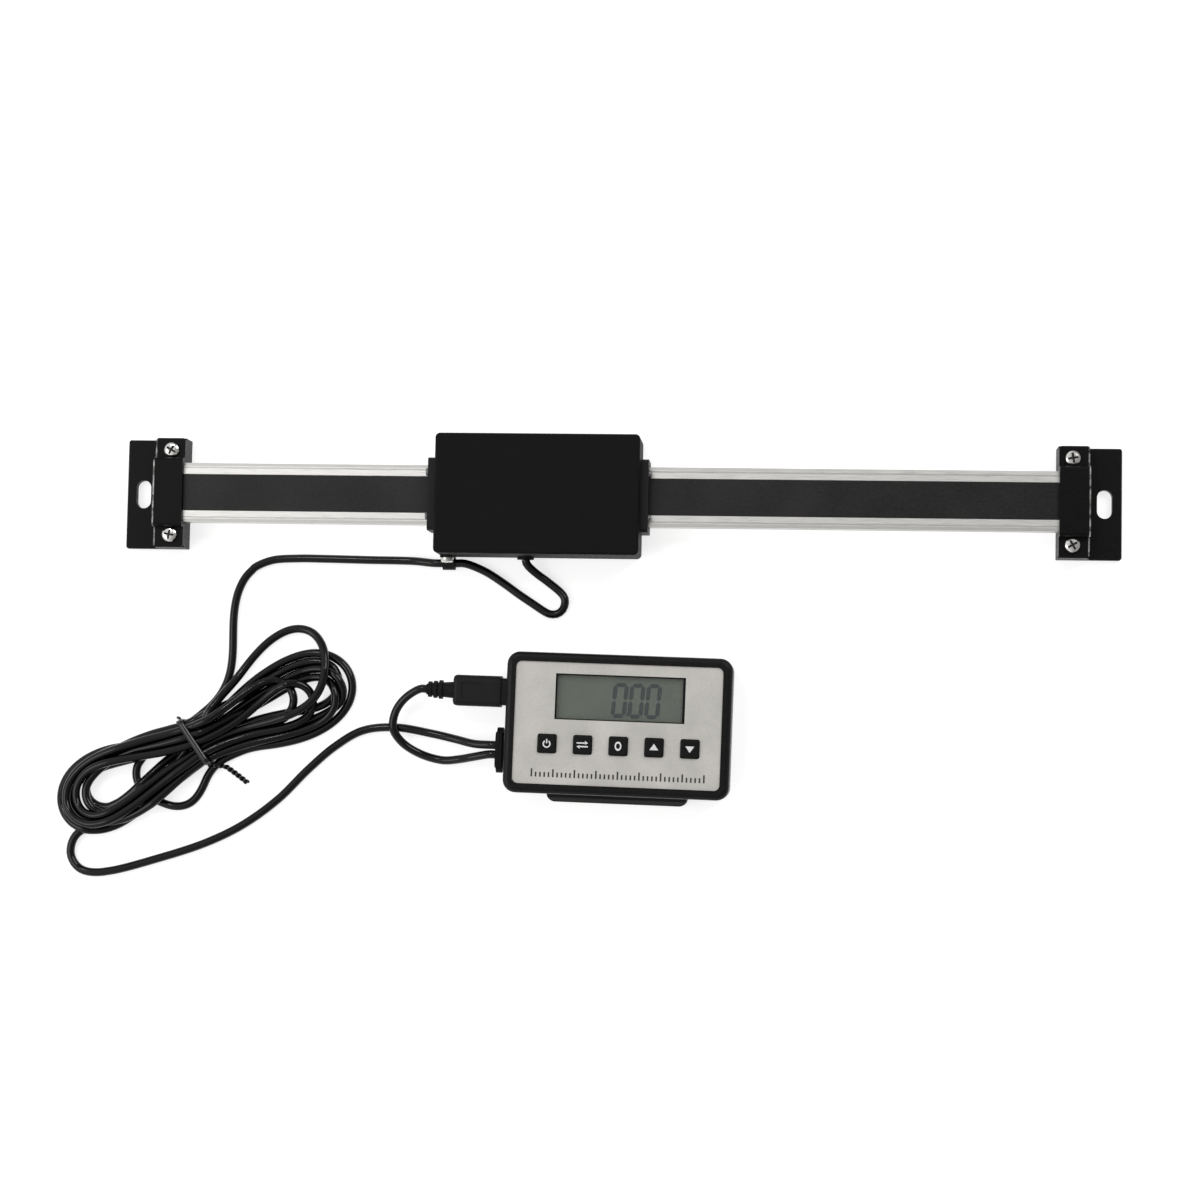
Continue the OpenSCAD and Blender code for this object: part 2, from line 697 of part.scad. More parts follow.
module sensor_board() {
    color("darkgreen") in_head() difference() {
        translate([-sensor_board_len / 2, -sensor_board_half, board_z0])
            cube([sensor_board_len, 2 * sensor_board_half, sensor_board_t]);
        for (sx = [-1, 1], sy = [-1, 1])
            translate([sx * board_screw_x, sy * board_screw_y, board_z0 - eps])
                cylinder(r = board_shank_r + part_fit, h = sensor_board_t + 2 * eps);
        translate([exit_dx - lead_notch_w / 2, -sensor_board_half - eps, board_z0 - eps])
            cube([lead_notch_w, 3 + eps, sensor_board_t + 2 * eps]);
    }
}

module board_screws() {
    color("gray") in_head() for (sx = [-1, 1], sy = [-1, 1])
        translate([sx * board_screw_x, sy * board_screw_y, board_z0 + sensor_board_t])
            pan_screw(board_head_r, board_head_h, board_shank_r, sensor_board_t + board_bite);
}

module sensor_chip() {
    color("#111111") in_head()
        translate([chip_x, -chip_w / 2, board_z0 + sensor_board_t]) cube([chip_w, chip_w, chip_t]);
}

module board_connector() {
    z0 = board_z0 + sensor_board_t;
    wall = 0.7;
    y0 = -sensor_board_half + 3.4;
    color("white") in_head() difference() {
        translate([exit_dx - header_w / 2, y0, z0]) cube([header_w, header_l, header_h]);
        translate([exit_dx - header_w / 2 + wall, y0 - eps, z0 + wall])
            cube([header_w - 2 * wall, header_l - 1.8 + eps, header_h - 2 * wall]);
    }
}

module head_grommet() {
    color("#101010") in_head() translate([exit_dx, 0, exit_z]) union() {
        bar_y(-head_half - grommet_lip, -head_half, grommet_r);
        bar_y(-head_half - 0.01, -head_half + head_wall + 0.01, grommet_neck_r);
        bar_y(-head_half + head_wall, -head_half + head_wall + grommet_lip, grommet_r);
    }
}

module cable_clip() {
    color("#131313") in_head() translate([clip_dx - clip_w / 2, 0, 0]) difference() {
        union() {
            translate([0, clip_y, clip_z]) bar_x(0, clip_w, cable_d / 2 + clip_t);
            translate([0, -head_half - clip_t, clip_z]) cube([clip_w, clip_t, 7.6]);
        }
        translate([0, clip_y, clip_z]) bar_x(-eps, clip_w + eps, cable_d / 2 + 0.03);
        translate([clip_w / 2, 0, clip_screw_z])
            bar_y(-head_half - clip_t - eps, -head_half + eps, clip_shank_r + part_fit);
    }
}

module clip_screw() {
    color("gainsboro") in_head() translate([clip_dx, -head_half - clip_t, clip_screw_z])
        rotate([90, 0, 0]) pan_screw(2.1, 1.6, clip_shank_r, clip_t + head_wall + 2.2);
}

// ---------- cable ----------

module head_lead() { color("#121212") cable(head_route); }
module display_lead() { color("#121212") cable(display_route); }
module plug_lead() { color("#121212") cable(plug_route); }

module lead_hank() {
    n = hank_side;
    color("#181818") linear_extrude(hank_h) {
        translate(hank_left) circle(hank_left_r);
        translate(hank_right) circle(hank_right_r);
        polygon([hank_left - n * (hank_left_r - 0.5), hank_waist - n * hank_waist_half,
            hank_right - n * (hank_right_r - 0.5), hank_right + n * (hank_right_r - 0.5),
            hank_waist + n * hank_waist_half, hank_left + n * (hank_left_r - 0.5)]);
    }
}

module hank_tie() {
    out = hank_waist_half + 1 + tie_t;
    color("#0e0e0e") translate(hank_waist) rotate([0, 0, atan2(hank_dir.y, hank_dir.x)])
        difference() {
            translate([-tie_w / 2, -out, 0]) cube([tie_w, 2 * out, hank_h + tie_t + 0.05]);
            translate([-tie_w / 2 - eps, -out + tie_t, -eps])
                cube([tie_w + 2 * eps, 2 * (out - tie_t), hank_h + eps + 0.05]);
        }
}

// ---------- plug ----------

module plug_body() {
    color("#141414") in_display() translate([plug_face_x, plug_y, plug_z]) difference() {
        union() {
            rotate([0, -90, 0]) soft_block([plug_h, plug_w], 1.8, 1.2, 0, plug_len);
            along_x(-nose_len, nose_len) rounded_rect([plug_w - 1.2, plug_h - 1.2], 1.4);
        }
        along_x(0, nose_len + eps)
            rounded_rect([plug_shell_w + 2 * screw_fit, plug_shell_h + 2 * screw_fit], 0.5);
        for (i = [0 : 4], s = [-1, 1])
            translate([-plug_len + 3.6 + i * 1.7, s * (plug_w / 2), 0])
                cube([0.8, 0.8, plug_h - 3], center = true);
        for (s = [-1, 1]) translate([-plug_len / 2 - 1.6, 0, s * plug_h / 2])
            cube([6.5, 5, 0.6], center = true);
    }
}

module plug_relief() {
    r = cable_d / 2 + 0.6;
    rings = 3;
    color("#101010") in_display() translate([plug_face_x - plug_len, plug_y, plug_z])
        rotate([0, -90, 0]) union() {
            cylinder(r1 = r + 0.7, r2 = r, h = relief_len - 0.6);
            cylinder(r = r - 0.2, h = relief_len);
            for (i = [0 : rings - 1])
                translate([0, 0, relief_neck + i * 1.75]) cylinder(r = relief_r - i * 0.25, h = 1.1);
        }
}

module plug_shell() {
    tip = plug_face_x + shell_len;
    color("silver") in_display() translate([0, plug_y, plug_z]) difference() {
        along_x(plug_face_x, tip) rounded_rect([plug_shell_w, plug_shell_h], 0.5);
        along_x(plug_face_x + 3, tip + eps)
            rounded_rect([plug_shell_w - 0.6, plug_shell_h - 0.6], 0.3);
    }
}

// ---------- display ----------

module display_back() {
    inner = [case_w - 2 * case_wall, case_h - 2 * case_wall];
    color("#1a1a1c") in_display() difference() {
        union() {
            difference() {
                rounded_block([case_w, case_h], case_corner, case_z0, split_z);
                rounded_block(inner, case_corner - case_wall / 2, back_floor, split_z + eps);
            }
            for (sx = [-1, 1], sy = [-1, 1]) translate([sx * post_x, sy * post_y, case_z0 + 0.5])
                cylinder(r = post_r, h = display_board_z0 - case_z0 - 0.5);
            for (s = [-1, 1]) translate([s * foot_screw_x, foot_screw_y, case_z0 + 0.5])
                cylinder(r = foot_post_r, h = foot_bite + 1);
            translate([0, cell_y, case_z0 + 0.5]) cylinder(r = cell_r + 1.4, h = cell_z0 + cell_t
                - case_z0 - 0.9);
        }
        for (sx = [-1, 1], sy = [-1, 1]) translate([sx * post_x, sy * post_y, case_z0 - eps]) {
            cylinder(r = case_shank_r + part_fit, h = back_depth + 2 * eps);
            cylinder(r = case_head_r + part_fit, h = 1.4 + eps);
        }
        for (s = [-1, 1]) translate([s * foot_screw_x, foot_screw_y, case_z0 - eps])
            cylinder(r = foot_shank_r + screw_fit, h = foot_bite + 1 + eps);
        for (s = [-1, 1]) translate([s * magnet_x, magnet_y, case_z0 - eps])
            cylinder(r = magnet_r + part_fit, h = magnet_seat + eps);
        translate([0, cell_y, case_z0 + door_t])
            cylinder(r = cell_r + 0.2, h = back_depth);
        door_shape(door_fit, case_h / 2 + eps);
        translate([-case_w / 2 - eps, plug_y, plug_z]) along_x(0, case_wall + 2 * eps)
            square([plug_shell_w + 1, plug_shell_h + 0.8], center = true);
        translate([-case_w / 2 - eps, gland_y, gland_z]) along_x(0, case_wall + 2 * eps)
            rounded_rect([gland_w - 4, gland_h - 3], 1.5);
    }
}

// Battery door with a tongue along each side, grown by a clearance for its cut-out
module door_shape(grow, y1) {
    z0 = case_z0 - (grow > 0 ? eps : 0);
    z1 = case_z0 + door_t + grow;
    t0 = case_z0 + 0.6 - grow;
    t1 = case_z0 + 1.1 + grow;
    w = door_half + grow;
    v = door_half + door_tongue + grow;
    translate([0, y1, 0]) rotate([90, 0, 0]) linear_extrude(y1 - door_y0 + grow)
        polygon([[-w, z0], [w, z0], [w, t0], [v, t0], [v, t1], [w, t1], [w, z1],
            [-w, z1], [-w, t1], [-v, t1], [-v, t0], [-w, t0]]);
}

module battery_door() {
    color("#202022") in_display() difference() {
        door_shape(0, case_h / 2 - 0.1);
        for (i = [0 : 3])
            translate([-grip_w / 2, case_h / 2 - 4 - i * grip_pitch, case_z0 - eps])
                cube([grip_w, 0.7, eps + 0.3]);
    }
}

module display_front() {
    inner = [case_w - 2 * case_wall, case_h - 2 * case_wall];
    color("#1a1a1c") in_display() difference() {
        union() {
            difference() {
                soft_block([case_w, case_h], case_corner, case_edge, split_z, case_z1);
                rounded_block(inner, case_corner - case_wall / 2, split_z - eps, front_under);
            }
            for (sx = [-1, 1], sy = [-1, 1])
                translate([sx * post_x, sy * post_y, display_board_z1])
                    cylinder(r = post_r, h = front_under - display_board_z1 + 0.4);
        }
        rounded_block([face_size.x + 2 * part_fit, face_size.y + 2 * part_fit],
            face_corner + part_fit, face_z0, case_z1 + eps);
        translate([panel_dx, window_y, front_under - eps]) linear_extrude(front_wall + 2 * eps)
            square([window_w, window_h], center = true);
        for (x = key_xs) translate([x, key_y, front_under - eps])
            linear_extrude(front_wall + 2 * eps) rounded_rect(key_hole, 0.7);
        for (sx = [-1, 1], sy = [-1, 1])
            translate([sx * post_x, sy * post_y, display_board_z1 - eps])
                cylinder(r = case_shank_r + screw_fit, h = front_under - display_board_z1 + eps - 0.6);
    }
}
key_hole = [key_size + 2 * key_fit, key_size + 2 * key_fit];

module face_plate() {
    color("#c9c6c0") in_display() difference() {
        rounded_block(face_size, face_corner, face_z0, face_z1);
        translate([panel_dx, window_y, face_z0 - eps]) linear_extrude(face_t + 2 * eps)
            square([window_w, window_h], center = true);
        for (x = key_xs) translate([x, key_y, face_z0 - eps])
            linear_extrude(face_t + 2 * eps) rounded_rect(key_hole, 0.7);
    }
}

module display_lens() {
    color("#9fa89a", 0.5) in_display() translate([panel_dx, window_y, front_under])
        linear_extrude(lens_t)
            square([window_w - 2 * part_fit, window_h - 2 * part_fit], center = true);
}

module lcd_glass() {
    color("#7f8878") in_display() translate([panel_dx, window_y, lcd_z0]) linear_extrude(lcd_t)
        square(lcd_size, center = true);
}

module lcd_connectors() {
    color("#303030") in_display() for (s = [-1, 1])
        translate([panel_dx, window_y + s * (lcd_size.y / 2 - 1.2), display_board_z1])
            linear_extrude(lcd_z0 - display_board_z1) square([lcd_size.x - 2, 1.8], center = true);
}

module display_board() {
    size = [case_w - 2 * case_wall - 1, case_h - 2 * case_wall - 1];
    color("darkgreen") in_display() difference() {
        rounded_block(size, 2, display_board_z0, display_board_z1);
        for (sx = [-1, 1], sy = [-1, 1])
            translate([sx * post_x, sy * post_y, display_board_z0 - eps])
                cylinder(r = case_shank_r + part_fit, h = display_board_t + 2 * eps);
    }
}

// Key cap with a lip that keeps it in the case, number i from the left
module key_cap(i) {
    lip = key_size + 2 * key_fit + 2 * key_lip_w - 0.4;
    top = face_z1 + key_proud;
    color("#131315") in_display() translate([key_xs[i], key_y, 0]) union() {
        rounded_block([lip, lip], 0.8, key_lip_z0, key_lip_z0 + key_lip);
        soft_block([key_size, key_size], 0.7, 0.4, key_lip_z0 + 0.2, top);
    }
}
module key_1() { key_cap(0); }
module key_2() { key_cap(1); }
module key_3() { key_cap(2); }
module key_4() { key_cap(3); }
module key_5() { key_cap(4); }

module key_switches() {
    color("#4a4a4a") in_display() for (x = key_xs) translate([x, key_y, display_board_z1]) {
        linear_extrude(switch_top - display_board_z1 - 0.5) square(switch_w, center = true);
        cylinder(r = switch_cap_r, h = switch_top - display_board_z1);
    }
}

module coin_cell() {
    color("silver") in_display() translate([0, cell_y, cell_z0]) union() {
        cylinder(r = cell_r - 1.2, h = cell_t);
        translate([0, 0, 0.4]) cylinder(r = cell_r, h = cell_t - 0.4);
    }
}

module cell_contact() {
    z0 = cell_z0 + cell_t;
    color("goldenrod") in_display() translate([0, cell_y - 2, 0]) union() {
        translate([-2, -3, z0]) cube([4, 6, 0.3]);
        translate([-2, 2.7, z0]) cube([4, 0.3, display_board_z0 - z0]);
        translate([-2, 2.7, display_board_z0 - 0.3]) cube([4, 3, 0.3]);
    }
}

module case_screws() {
    color("gray") in_display() for (sx = [-1, 1], sy = [-1, 1])
        translate([sx * post_x, sy * post_y, case_z0 + 1.4]) rotate([180, 0, 0])
            pan_screw(case_head_r, 1.3, case_shank_r, front_under - case_z0 - 2.6);
}

module usb_socket() {
    x0 = -case_w / 2 + case_wall + 0.1;
    color("silver") in_display() translate([x0, plug_y, plug_z]) union() {
        difference() {
            along_x(0, socket_len) rounded_rect([socket_w, socket_h], 0.6);
            along_x(-eps, socket_len - 0.6)
                rounded_rect([socket_w - 2 * sheet_t, socket_h - 2 * sheet_t], 0.4);
        }
        translate([1, 0, 0]) along_x(0, socket_len - 1.2) square([4.6, 0.7], center = true);
    }
}

module display_magnets() {
    color("gray") in_display() for (s = [-1, 1]) translate([s * magnet_x, magnet_y, 0])
        cylinder(r = magnet_r, h = case_lift + magnet_seat);
}

module display_foot() {
    y0 = -case_h / 2 - foot_out;
    y1 = foot_y1;
    wall_y = -case_h / 2 - 0.1;
    top = case_lift + foot_lip;
    color("#242427") in_display() difference() {
        intersection() {
            translate([-foot_w / 2, 0, 0]) rotate([90, 0, 90]) linear_extrude(foot_w)
                polygon([[y0, 0], [y1, 0], [y1, case_lift], [wall_y, case_lift], [wall_y, top],
                    [wall_y - foot_out * 0.4, top], [y0, top - 1.6]]);
            translate([0, (y0 + y1) / 2, 0]) rounded_block([foot_w, y1 - y0], 2.6, -eps, top + eps);
        }
        for (s = [-1, 1]) translate([s * foot_screw_x, foot_screw_y, 0]) {
            translate([0, 0, -eps]) cylinder(r = foot_shank_r + part_fit, h = case_lift + 2 * eps);
            rotate_extrude() polygon([[0, -eps], [foot_head_r + part_fit, -eps],
                [foot_head_r + part_fit, 0.25], [foot_shank_r, foot_head_h + 0.15],
                [0, foot_head_h + 0.15]]);
        }
    }
}

module foot_screws() {
    color("gray") in_display() for (s = [-1, 1])
        translate([s * foot_screw_x, foot_screw_y, 0.05]) rotate([180, 0, 0])
            flat_screw(foot_head_r, foot_head_h, foot_shank_r, case_lift + foot_bite);
}

module display_gland() {
    x0 = gland_x;
    x1 = -case_w / 2;
    rib = 0.8;
    color("#0f0f0f") in_display() translate([0, gland_y, gland_z]) union() {
        along_x(x0, x1) rounded_rect([gland_w - 3, gland_h - 1.8], 2);
        for (x = [x0 + 0.5, (x0 + x1 - rib) / 2, x1 - rib]) along_x(x, x + rib)
            rounded_rect([gland_w, gland_h], 2.8);
        along_x(x1 - 0.01, x1 + case_wall + 1)
            rounded_rect([gland_w - 4 - part_fit, gland_h - 3 - part_fit], 1.4);
    }
}

beam();
scale_strip();
strip_film();
left_bracket();
right_bracket();
left_clamp();
right_clamp();
clamp_screws();
head_base();
head_cover();
cover_screws();
left_guard();
right_guard();
guard_screws();
left_wiper();
right_wiper();
guide_shoes();
leaf_spring();
sensor_board();
board_screws();
sensor_chip();
board_connector();
head_grommet();
cable_clip();
clip_screw();
head_lead();
display_lead();
plug_lead();
lead_hank();
hank_tie();
plug_body();
plug_relief();
plug_shell();
display_back();
display_front();
face_plate();
display_lens();
lcd_glass();
lcd_connectors();
display_board();
key_1();
key_2();
key_3();
key_4();
key_5();
key_switches();
coin_cell();
cell_contact();
battery_door();
case_screws();
usb_socket();
display_magnets();
display_foot();
foot_screws();
display_gland();
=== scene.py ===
"""Looks of the linear scale with its remote display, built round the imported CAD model."""
import json
import math

import bpy
import numpy as np
from mathutils import Matrix, Vector

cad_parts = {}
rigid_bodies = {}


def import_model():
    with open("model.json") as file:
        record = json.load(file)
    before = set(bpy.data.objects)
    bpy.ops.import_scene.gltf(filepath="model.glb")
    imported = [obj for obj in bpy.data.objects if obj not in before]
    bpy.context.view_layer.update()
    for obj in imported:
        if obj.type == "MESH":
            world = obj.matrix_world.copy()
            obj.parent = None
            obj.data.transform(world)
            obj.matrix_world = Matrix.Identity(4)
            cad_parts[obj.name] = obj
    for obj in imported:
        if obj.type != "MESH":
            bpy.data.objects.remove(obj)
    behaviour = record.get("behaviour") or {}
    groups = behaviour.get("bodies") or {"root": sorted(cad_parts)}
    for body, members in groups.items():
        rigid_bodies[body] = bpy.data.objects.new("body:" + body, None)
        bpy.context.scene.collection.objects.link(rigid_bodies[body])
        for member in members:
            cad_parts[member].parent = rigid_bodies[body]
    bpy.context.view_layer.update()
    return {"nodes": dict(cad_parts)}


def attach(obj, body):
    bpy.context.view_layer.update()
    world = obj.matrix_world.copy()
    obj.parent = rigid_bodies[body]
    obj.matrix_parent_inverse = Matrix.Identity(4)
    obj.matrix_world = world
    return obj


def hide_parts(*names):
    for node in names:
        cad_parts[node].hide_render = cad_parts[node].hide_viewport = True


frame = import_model()
NODES = frame["nodes"]

MM = 0.001
READOUT = "readout"

# Places that the part's source also names, in millimetres
CASE_X, CASE_Y = 2.5, -72.55
CASE_TURN = math.radians(-1.2)
CABLE_D = 2.7
CABLE_R = CABLE_D / 2
FLOOR_Z = CABLE_R                       # height of a cable's middle on the surface
STRAP_EDGE_X = 148.6                    # outer arris of a clamp strap
CLAMP_SCREW_X, CLAMP_SCREW_Y, CLAMP_SCREW_TOP = 143.4, 13.65, 11.2
FACE_Z, LENS_Z, GLASS_Z, KEY_Z = 16.9, 15.9, 15.0, 17.9
WINDOW_Y, WINDOW_W, WINDOW_H = 8.45, 40.8, 14.4
KEY_Y, KEY_PITCH = -6.45, 11.2
PANEL_X = 0.5                           # middle of the window and of the row of keys


def display_point(x, y, z):
    """A point given in the display's own frame, in the row frame; millimetres."""
    return (CASE_X + x * math.cos(CASE_TURN) - y * math.sin(CASE_TURN),
            CASE_Y + x * math.sin(CASE_TURN) + y * math.cos(CASE_TURN), z)


def add_object(name, data):
    """A new object in the scene that holds the given data."""
    obj = bpy.data.objects.new(name, data)
    bpy.context.scene.collection.objects.link(obj)
    return obj


# ---------------------------------------------------------------- camera

CAMERA_PLACE = Vector((57.74, -83.55, 795.88))
CAMERA_AIM = Vector((-5.04, -32.22, 0.0))
CAMERA_ROLL = math.radians(1.08)
CAMERA_LENS, SENSOR_W = 74.88, 36
CLIP_NEAR, CLIP_FAR = 0.02, 20          # metres


def make_camera():
    """Looks down on the part from a little right of and below its middle."""
    data = bpy.data.cameras.new("camera")
    camera = add_object("camera", data)
    back = (CAMERA_PLACE - CAMERA_AIM).normalized()
    right = Vector((0, 1, 0)).cross(back).normalized()
    up = back.cross(right)
    turned_right = math.cos(CAMERA_ROLL) * right + math.sin(CAMERA_ROLL) * up
    turned_up = math.cos(CAMERA_ROLL) * up - math.sin(CAMERA_ROLL) * right
    turn = Matrix((turned_right, turned_up, back)).transposed()
    camera.matrix_world = Matrix.Translation(CAMERA_PLACE * MM) @ turn.to_4x4()
    data.sensor_width, data.lens = SENSOR_W, CAMERA_LENS
    data.clip_start, data.clip_end = CLIP_NEAR, CLIP_FAR
    bpy.context.scene.camera = camera


make_camera()

# ---------------------------------------------------------------- cords

HANK_ORIGIN = np.array([-168.0, -95.0])
HANK_ALONG = np.array([0.9108, 0.4128])
HANK_ACROSS = np.array([-0.4128, 0.9108])
WAIST_U, WAIST_V = 36.8, -0.3           # middle of the tie, along and across the hank
WAIST_HALF = 7.9
TIE_TOP = 8.2                           # inside of the tie above the surface
TIE_SLANT = 0.2                         # how far the tie leans along the hank
TIE_W, TIE_T = 2.0, 0.5                 # the flat tie's width and thickness
POINT_STEP = 1.22                       # between the points that settle

HEAD_ROUTE = [
    (-28.8, -19.9, 4.6), (-28.4, -21.3, 4.4), (-26, -23.7, 3), (-22, -26.6, 1.7),
    (-17.5, -30.2, FLOOR_Z), (-16.3, -31.9, FLOOR_Z), (-16.2, -33.9, FLOOR_Z),
    (-17, -35.8, FLOOR_Z), (-18.7, -37, FLOOR_Z), (-20.8, -37.1, FLOOR_Z),
    (-22.3, -36.5, FLOOR_Z), (-26.4, -33.9, FLOOR_Z), (-31, -30.9, FLOOR_Z),
    (-36, -27.4, FLOOR_Z), (-42.2, -23.6, 1.6),
    (-48.6, -21.25, 2.55), (-51.5, -21.25, 2.55), (-55.7, -21.25, 2.55), (-58.6, -21.25, 2.55),
    (-65, -20.6, 1.4), (-80, -20.4, FLOOR_Z), (-95, -20.2, FLOOR_Z), (-103, -20.2, FLOOR_Z),
    (-112, -21, FLOOR_Z), (-118.4, -24.2, FLOOR_Z), (-122.2, -29.6, FLOOR_Z),
    (-123.6, -37, FLOOR_Z), (-123.8, -46, FLOOR_Z), (-123.6, -57.4, FLOOR_Z)]
INTO_HANK = [(-124.6, -65, FLOOR_Z), (-128, -71, FLOOR_Z)]
DISPLAY_ROUTE = [
    (-173.36, -110.15), (-174.8, -113.6), (-174.6, -119), (-170.6, -122.2), (-163, -122.2),
    (-146, -117.6), (-130.4, -112.2), (-118.6, -106.2), (-107.4, -97.8), (-98, -88.2),
    (-89.4, -80.6), (-80.6, -75.4), (-70, -74.2), (-58, -76)]
UP_TO_GLAND = [(-50.4, -77.6, 2.4), (-44, -79, 5)]
PLUG_ROUTE = [
    (-44.4, -83.2, 5.2), (-49, -84, 3), (-54.6, -84.4, 1.5), (-62, -82.4, 1.5),
    (-67.6, -78.8, 3), (-70.2, -74.6, 4.6), (-69.6, -69.6, 5.2), (-66.4, -65, 6.6)]
GLAND_X, GLAND_Y, GLAND_Z = -39.1, -9.05, 6.6
CORD_GAP = 1.5                          # from the gland's middle to each cord
PLUG_END_X, PLUG_Y, PLUG_Z = -61.9, 9.4, 7.8
STRAIGHT_END = 2                        # how far a cord runs straight out of its fitting
PLUG_STEP = 0.8                         # between the points of the plug's cord

# The twist tie's ends, each point along, across and up: the twisted tail and the short nub
TAIL_ROUTE = [(38.5, -7.6, 3.4), (38.7, -9.2, 2.6), (40.2, -10.2, 1.9), (42.2, -11.2, 1.6),
              (43.7, -13.4, 1.4), (45.2, -16, 1.25), (46.7, -18.7, 1.25)]
NUB_ROUTE = [(35.4, 7.6, 5.6), (35.2, 8.7, 5.4), (34.6, 9.2, 4.6)]
TIE_CORNER, CORNER_POINTS = 1.7, 7      # the tie's rounded corners
WIRE_R, WIRE_SIDES = 0.5, 10
TWIST_PITCH, TAIL_STEP = 3.2, 0.3
TWIST_AT, TWIST_R = [0, 1.5, 3, 13], [0.5, 0.95, 0.55, 0.5]     # along the tail, and how wide

# How the hank settles
SETTLE_STEPS, PASSES = 500, 3
SETTLE_IN, SETTLE_OUT = 30, 18          # points before and after the hank that settle too
STILL = 20                              # points beyond those, which stay still
SMOOTH_PARTS = 24                       # parts of each stretch before it is evened out
LOOSE, GUIDED, HELD = 0.045, 0.15, 0.5  # how firmly a point stays over its place
STEADY = 0.1                            # firmer points are drawn there until the end
UNTIED = 0.2                            # firmer points may pass outside the tie
TIE_REACH = 2.4                         # the tie holds this far along, to each side
SEARCH_EVERY = 8                        # steps from one search for close points to the next
CLOSE, NEXT_POINTS = 1.9 * CABLE_D, 5   # what is close, and which points don't count
TIGHTEST = 7.2                          # bends below this radius are opened
OPEN_GAPS, OPEN_SHARE = (2, 4), 0.6     # over how many points, and how fast
KINK_GAP, KINK_SPAN = 3, 31             # where a kink is measured and how far it is felt
TIGHTEN = 0.06                          # how fast a kinked stretch gets shorter
SINK, SINK_LAST = 0.05, 0.01            # how fast the cable comes down, first and always
STIFFNESS = ((1, 0.55), (3, 0.2), (5, 0.12))    # over how many points, and how fast
LENGTH_SHARE, PUSH_SHARE = 0.6, 1.3     # how fast lengths and clashes are put right
TINY = 1e-6

# One turn of the hank: its left fold, its right fold, its height, and how far above and
# below the waist's middle it passes. A fold is its middle along and across, its radius, and
# how wide the turn is halfway to it. The first turn is slack and has no left fold, and the
# last one ends in the loose loop.
TURNS = [
    (None, (81.7, 0, 10, 0.62), 1.3, 6.3, -7.4),
    ((-2, -3.2, 10.6, 0.58), (83.4, -0.3, 8.9, 0.5), 4, 3.8, -4.1),
    ((-1.6, -3, 8.4, 0.5), (81, 1.2, 8.7, 0.5), 4, 1.4, -1.6),
    ((-1.2, -3.2, 9.8, 0.5), (81, -1.8, 8.2, 0.3), 6.6, 5.6, -5.6),
    ((-1, -3.6, 8.4, 0.6), (70.5, 2.2, 7.6, 0.3), 6.6, 3, -3.2),
    ((-0.6, -2.8, 10, 0.5), (76.4, -0.8, 7.8, 0.2), 8.6, 5, -4.6),
    ((-0.4, -3.4, 8.6, 0.5), None, 8.6, 1, -0.8)]
# The slack turn through the left opening, on the surface and below the tie, along and across
SLACK_BOW = [(24, 3.4), (18.6, 2.6), (14.6, -0.6), (13.8, -5), (15.6, -9.4), (18.6, -13.4),
             (22.2, -16.6), (27.2, -17.6), (32.2, -15), (36.2, -11), (42, -8.8)]
# The loose loop of the last turn, which leaves the hank and lies over it, and the way out to
# the display, each along, across and up
LOOSE_LOOP = [
    (46, -1.5, 7.6), (54, -2.2, 7.6), (63, -3.6, 7.6), (71, -4.6, 8, GUIDED),
    (77.6, -3.4, 8.6, GUIDED), (82.6, 0.6, 8.6, GUIDED), (85.4, 6.2, 8, GUIDED),
    (86.4, 12.2, 3.4, GUIDED), (85, 17.6, 1.4), (80, 20.9, FLOOR_Z), (72, 20.6, FLOOR_Z),
    (63.6, 17.4, FLOOR_Z), (56.4, 13, 2.4), (49, 9.4, 5), (42, 6, 6.6)]
LOW = 3                                 # the loop's points below this height are held
WAY_OUT = [(36.8, -4, 4), (28, -5.6, 2), (18, -7.2, FLOOR_Z), (9, -9.6, FLOOR_Z),
           (1, -11.2, FLOOR_Z), (-5, -12, FLOOR_Z)]


def hank_point(along, across, up, firm=LOOSE):
    """A point given along and across the hank, in the row frame; millimetres."""
    x, y = HANK_ORIGIN + along * HANK_ALONG + across * HANK_ACROSS
    return (x, y, up, firm)


def fold(middle_u, middle_v, radius, degrees, up):
    """Points round one fold of a turn."""
    return [(middle_u + radius * math.cos(math.radians(a)),
             middle_v + radius * math.sin(math.radians(a)), up) for a in degrees]


def halfway(fold_at, waist_v, side, up):
    """Where a turn is halfway from the tie to one side of a fold."""
    u, v, r, wide = fold_at
    return ((WAIST_U + u) / 2, waist_v * (1 - wide) + (v + side * r) * wide, up)


def hank_route():
    """Rough way of the cable through the hank, before it settles."""
    way = []
    for k, (left, right, up, over, under) in enumerate(TURNS):
        over, under = WAIST_V + over, WAIST_V + under
        way.append((WAIST_U, over, up))
        if left is None:
            way += [(u, v, FLOOR_Z, HELD) for u, v in SLACK_BOW]
        else:
            way.append(halfway(left, over, 1, up))
            way += fold(*left[:3], (90, 125, 160, 195, 230, 265), up)
            way += [halfway(left, under, -1, up), (WAIST_U, under, up)]
        if right is None:
            way += [point + (HELD,) if point[2] < LOW else point for point in LOOSE_LOOP]
        else:
            way.append(halfway(right, under, -1, up))
            way += fold(*right[:3], (-90, -55, -18, 18, 55, 90), up)
            way.append(halfway(right, WAIST_V + TURNS[k + 1][3], 1, up))
    return [hank_point(*p) for p in way + WAY_OUT]


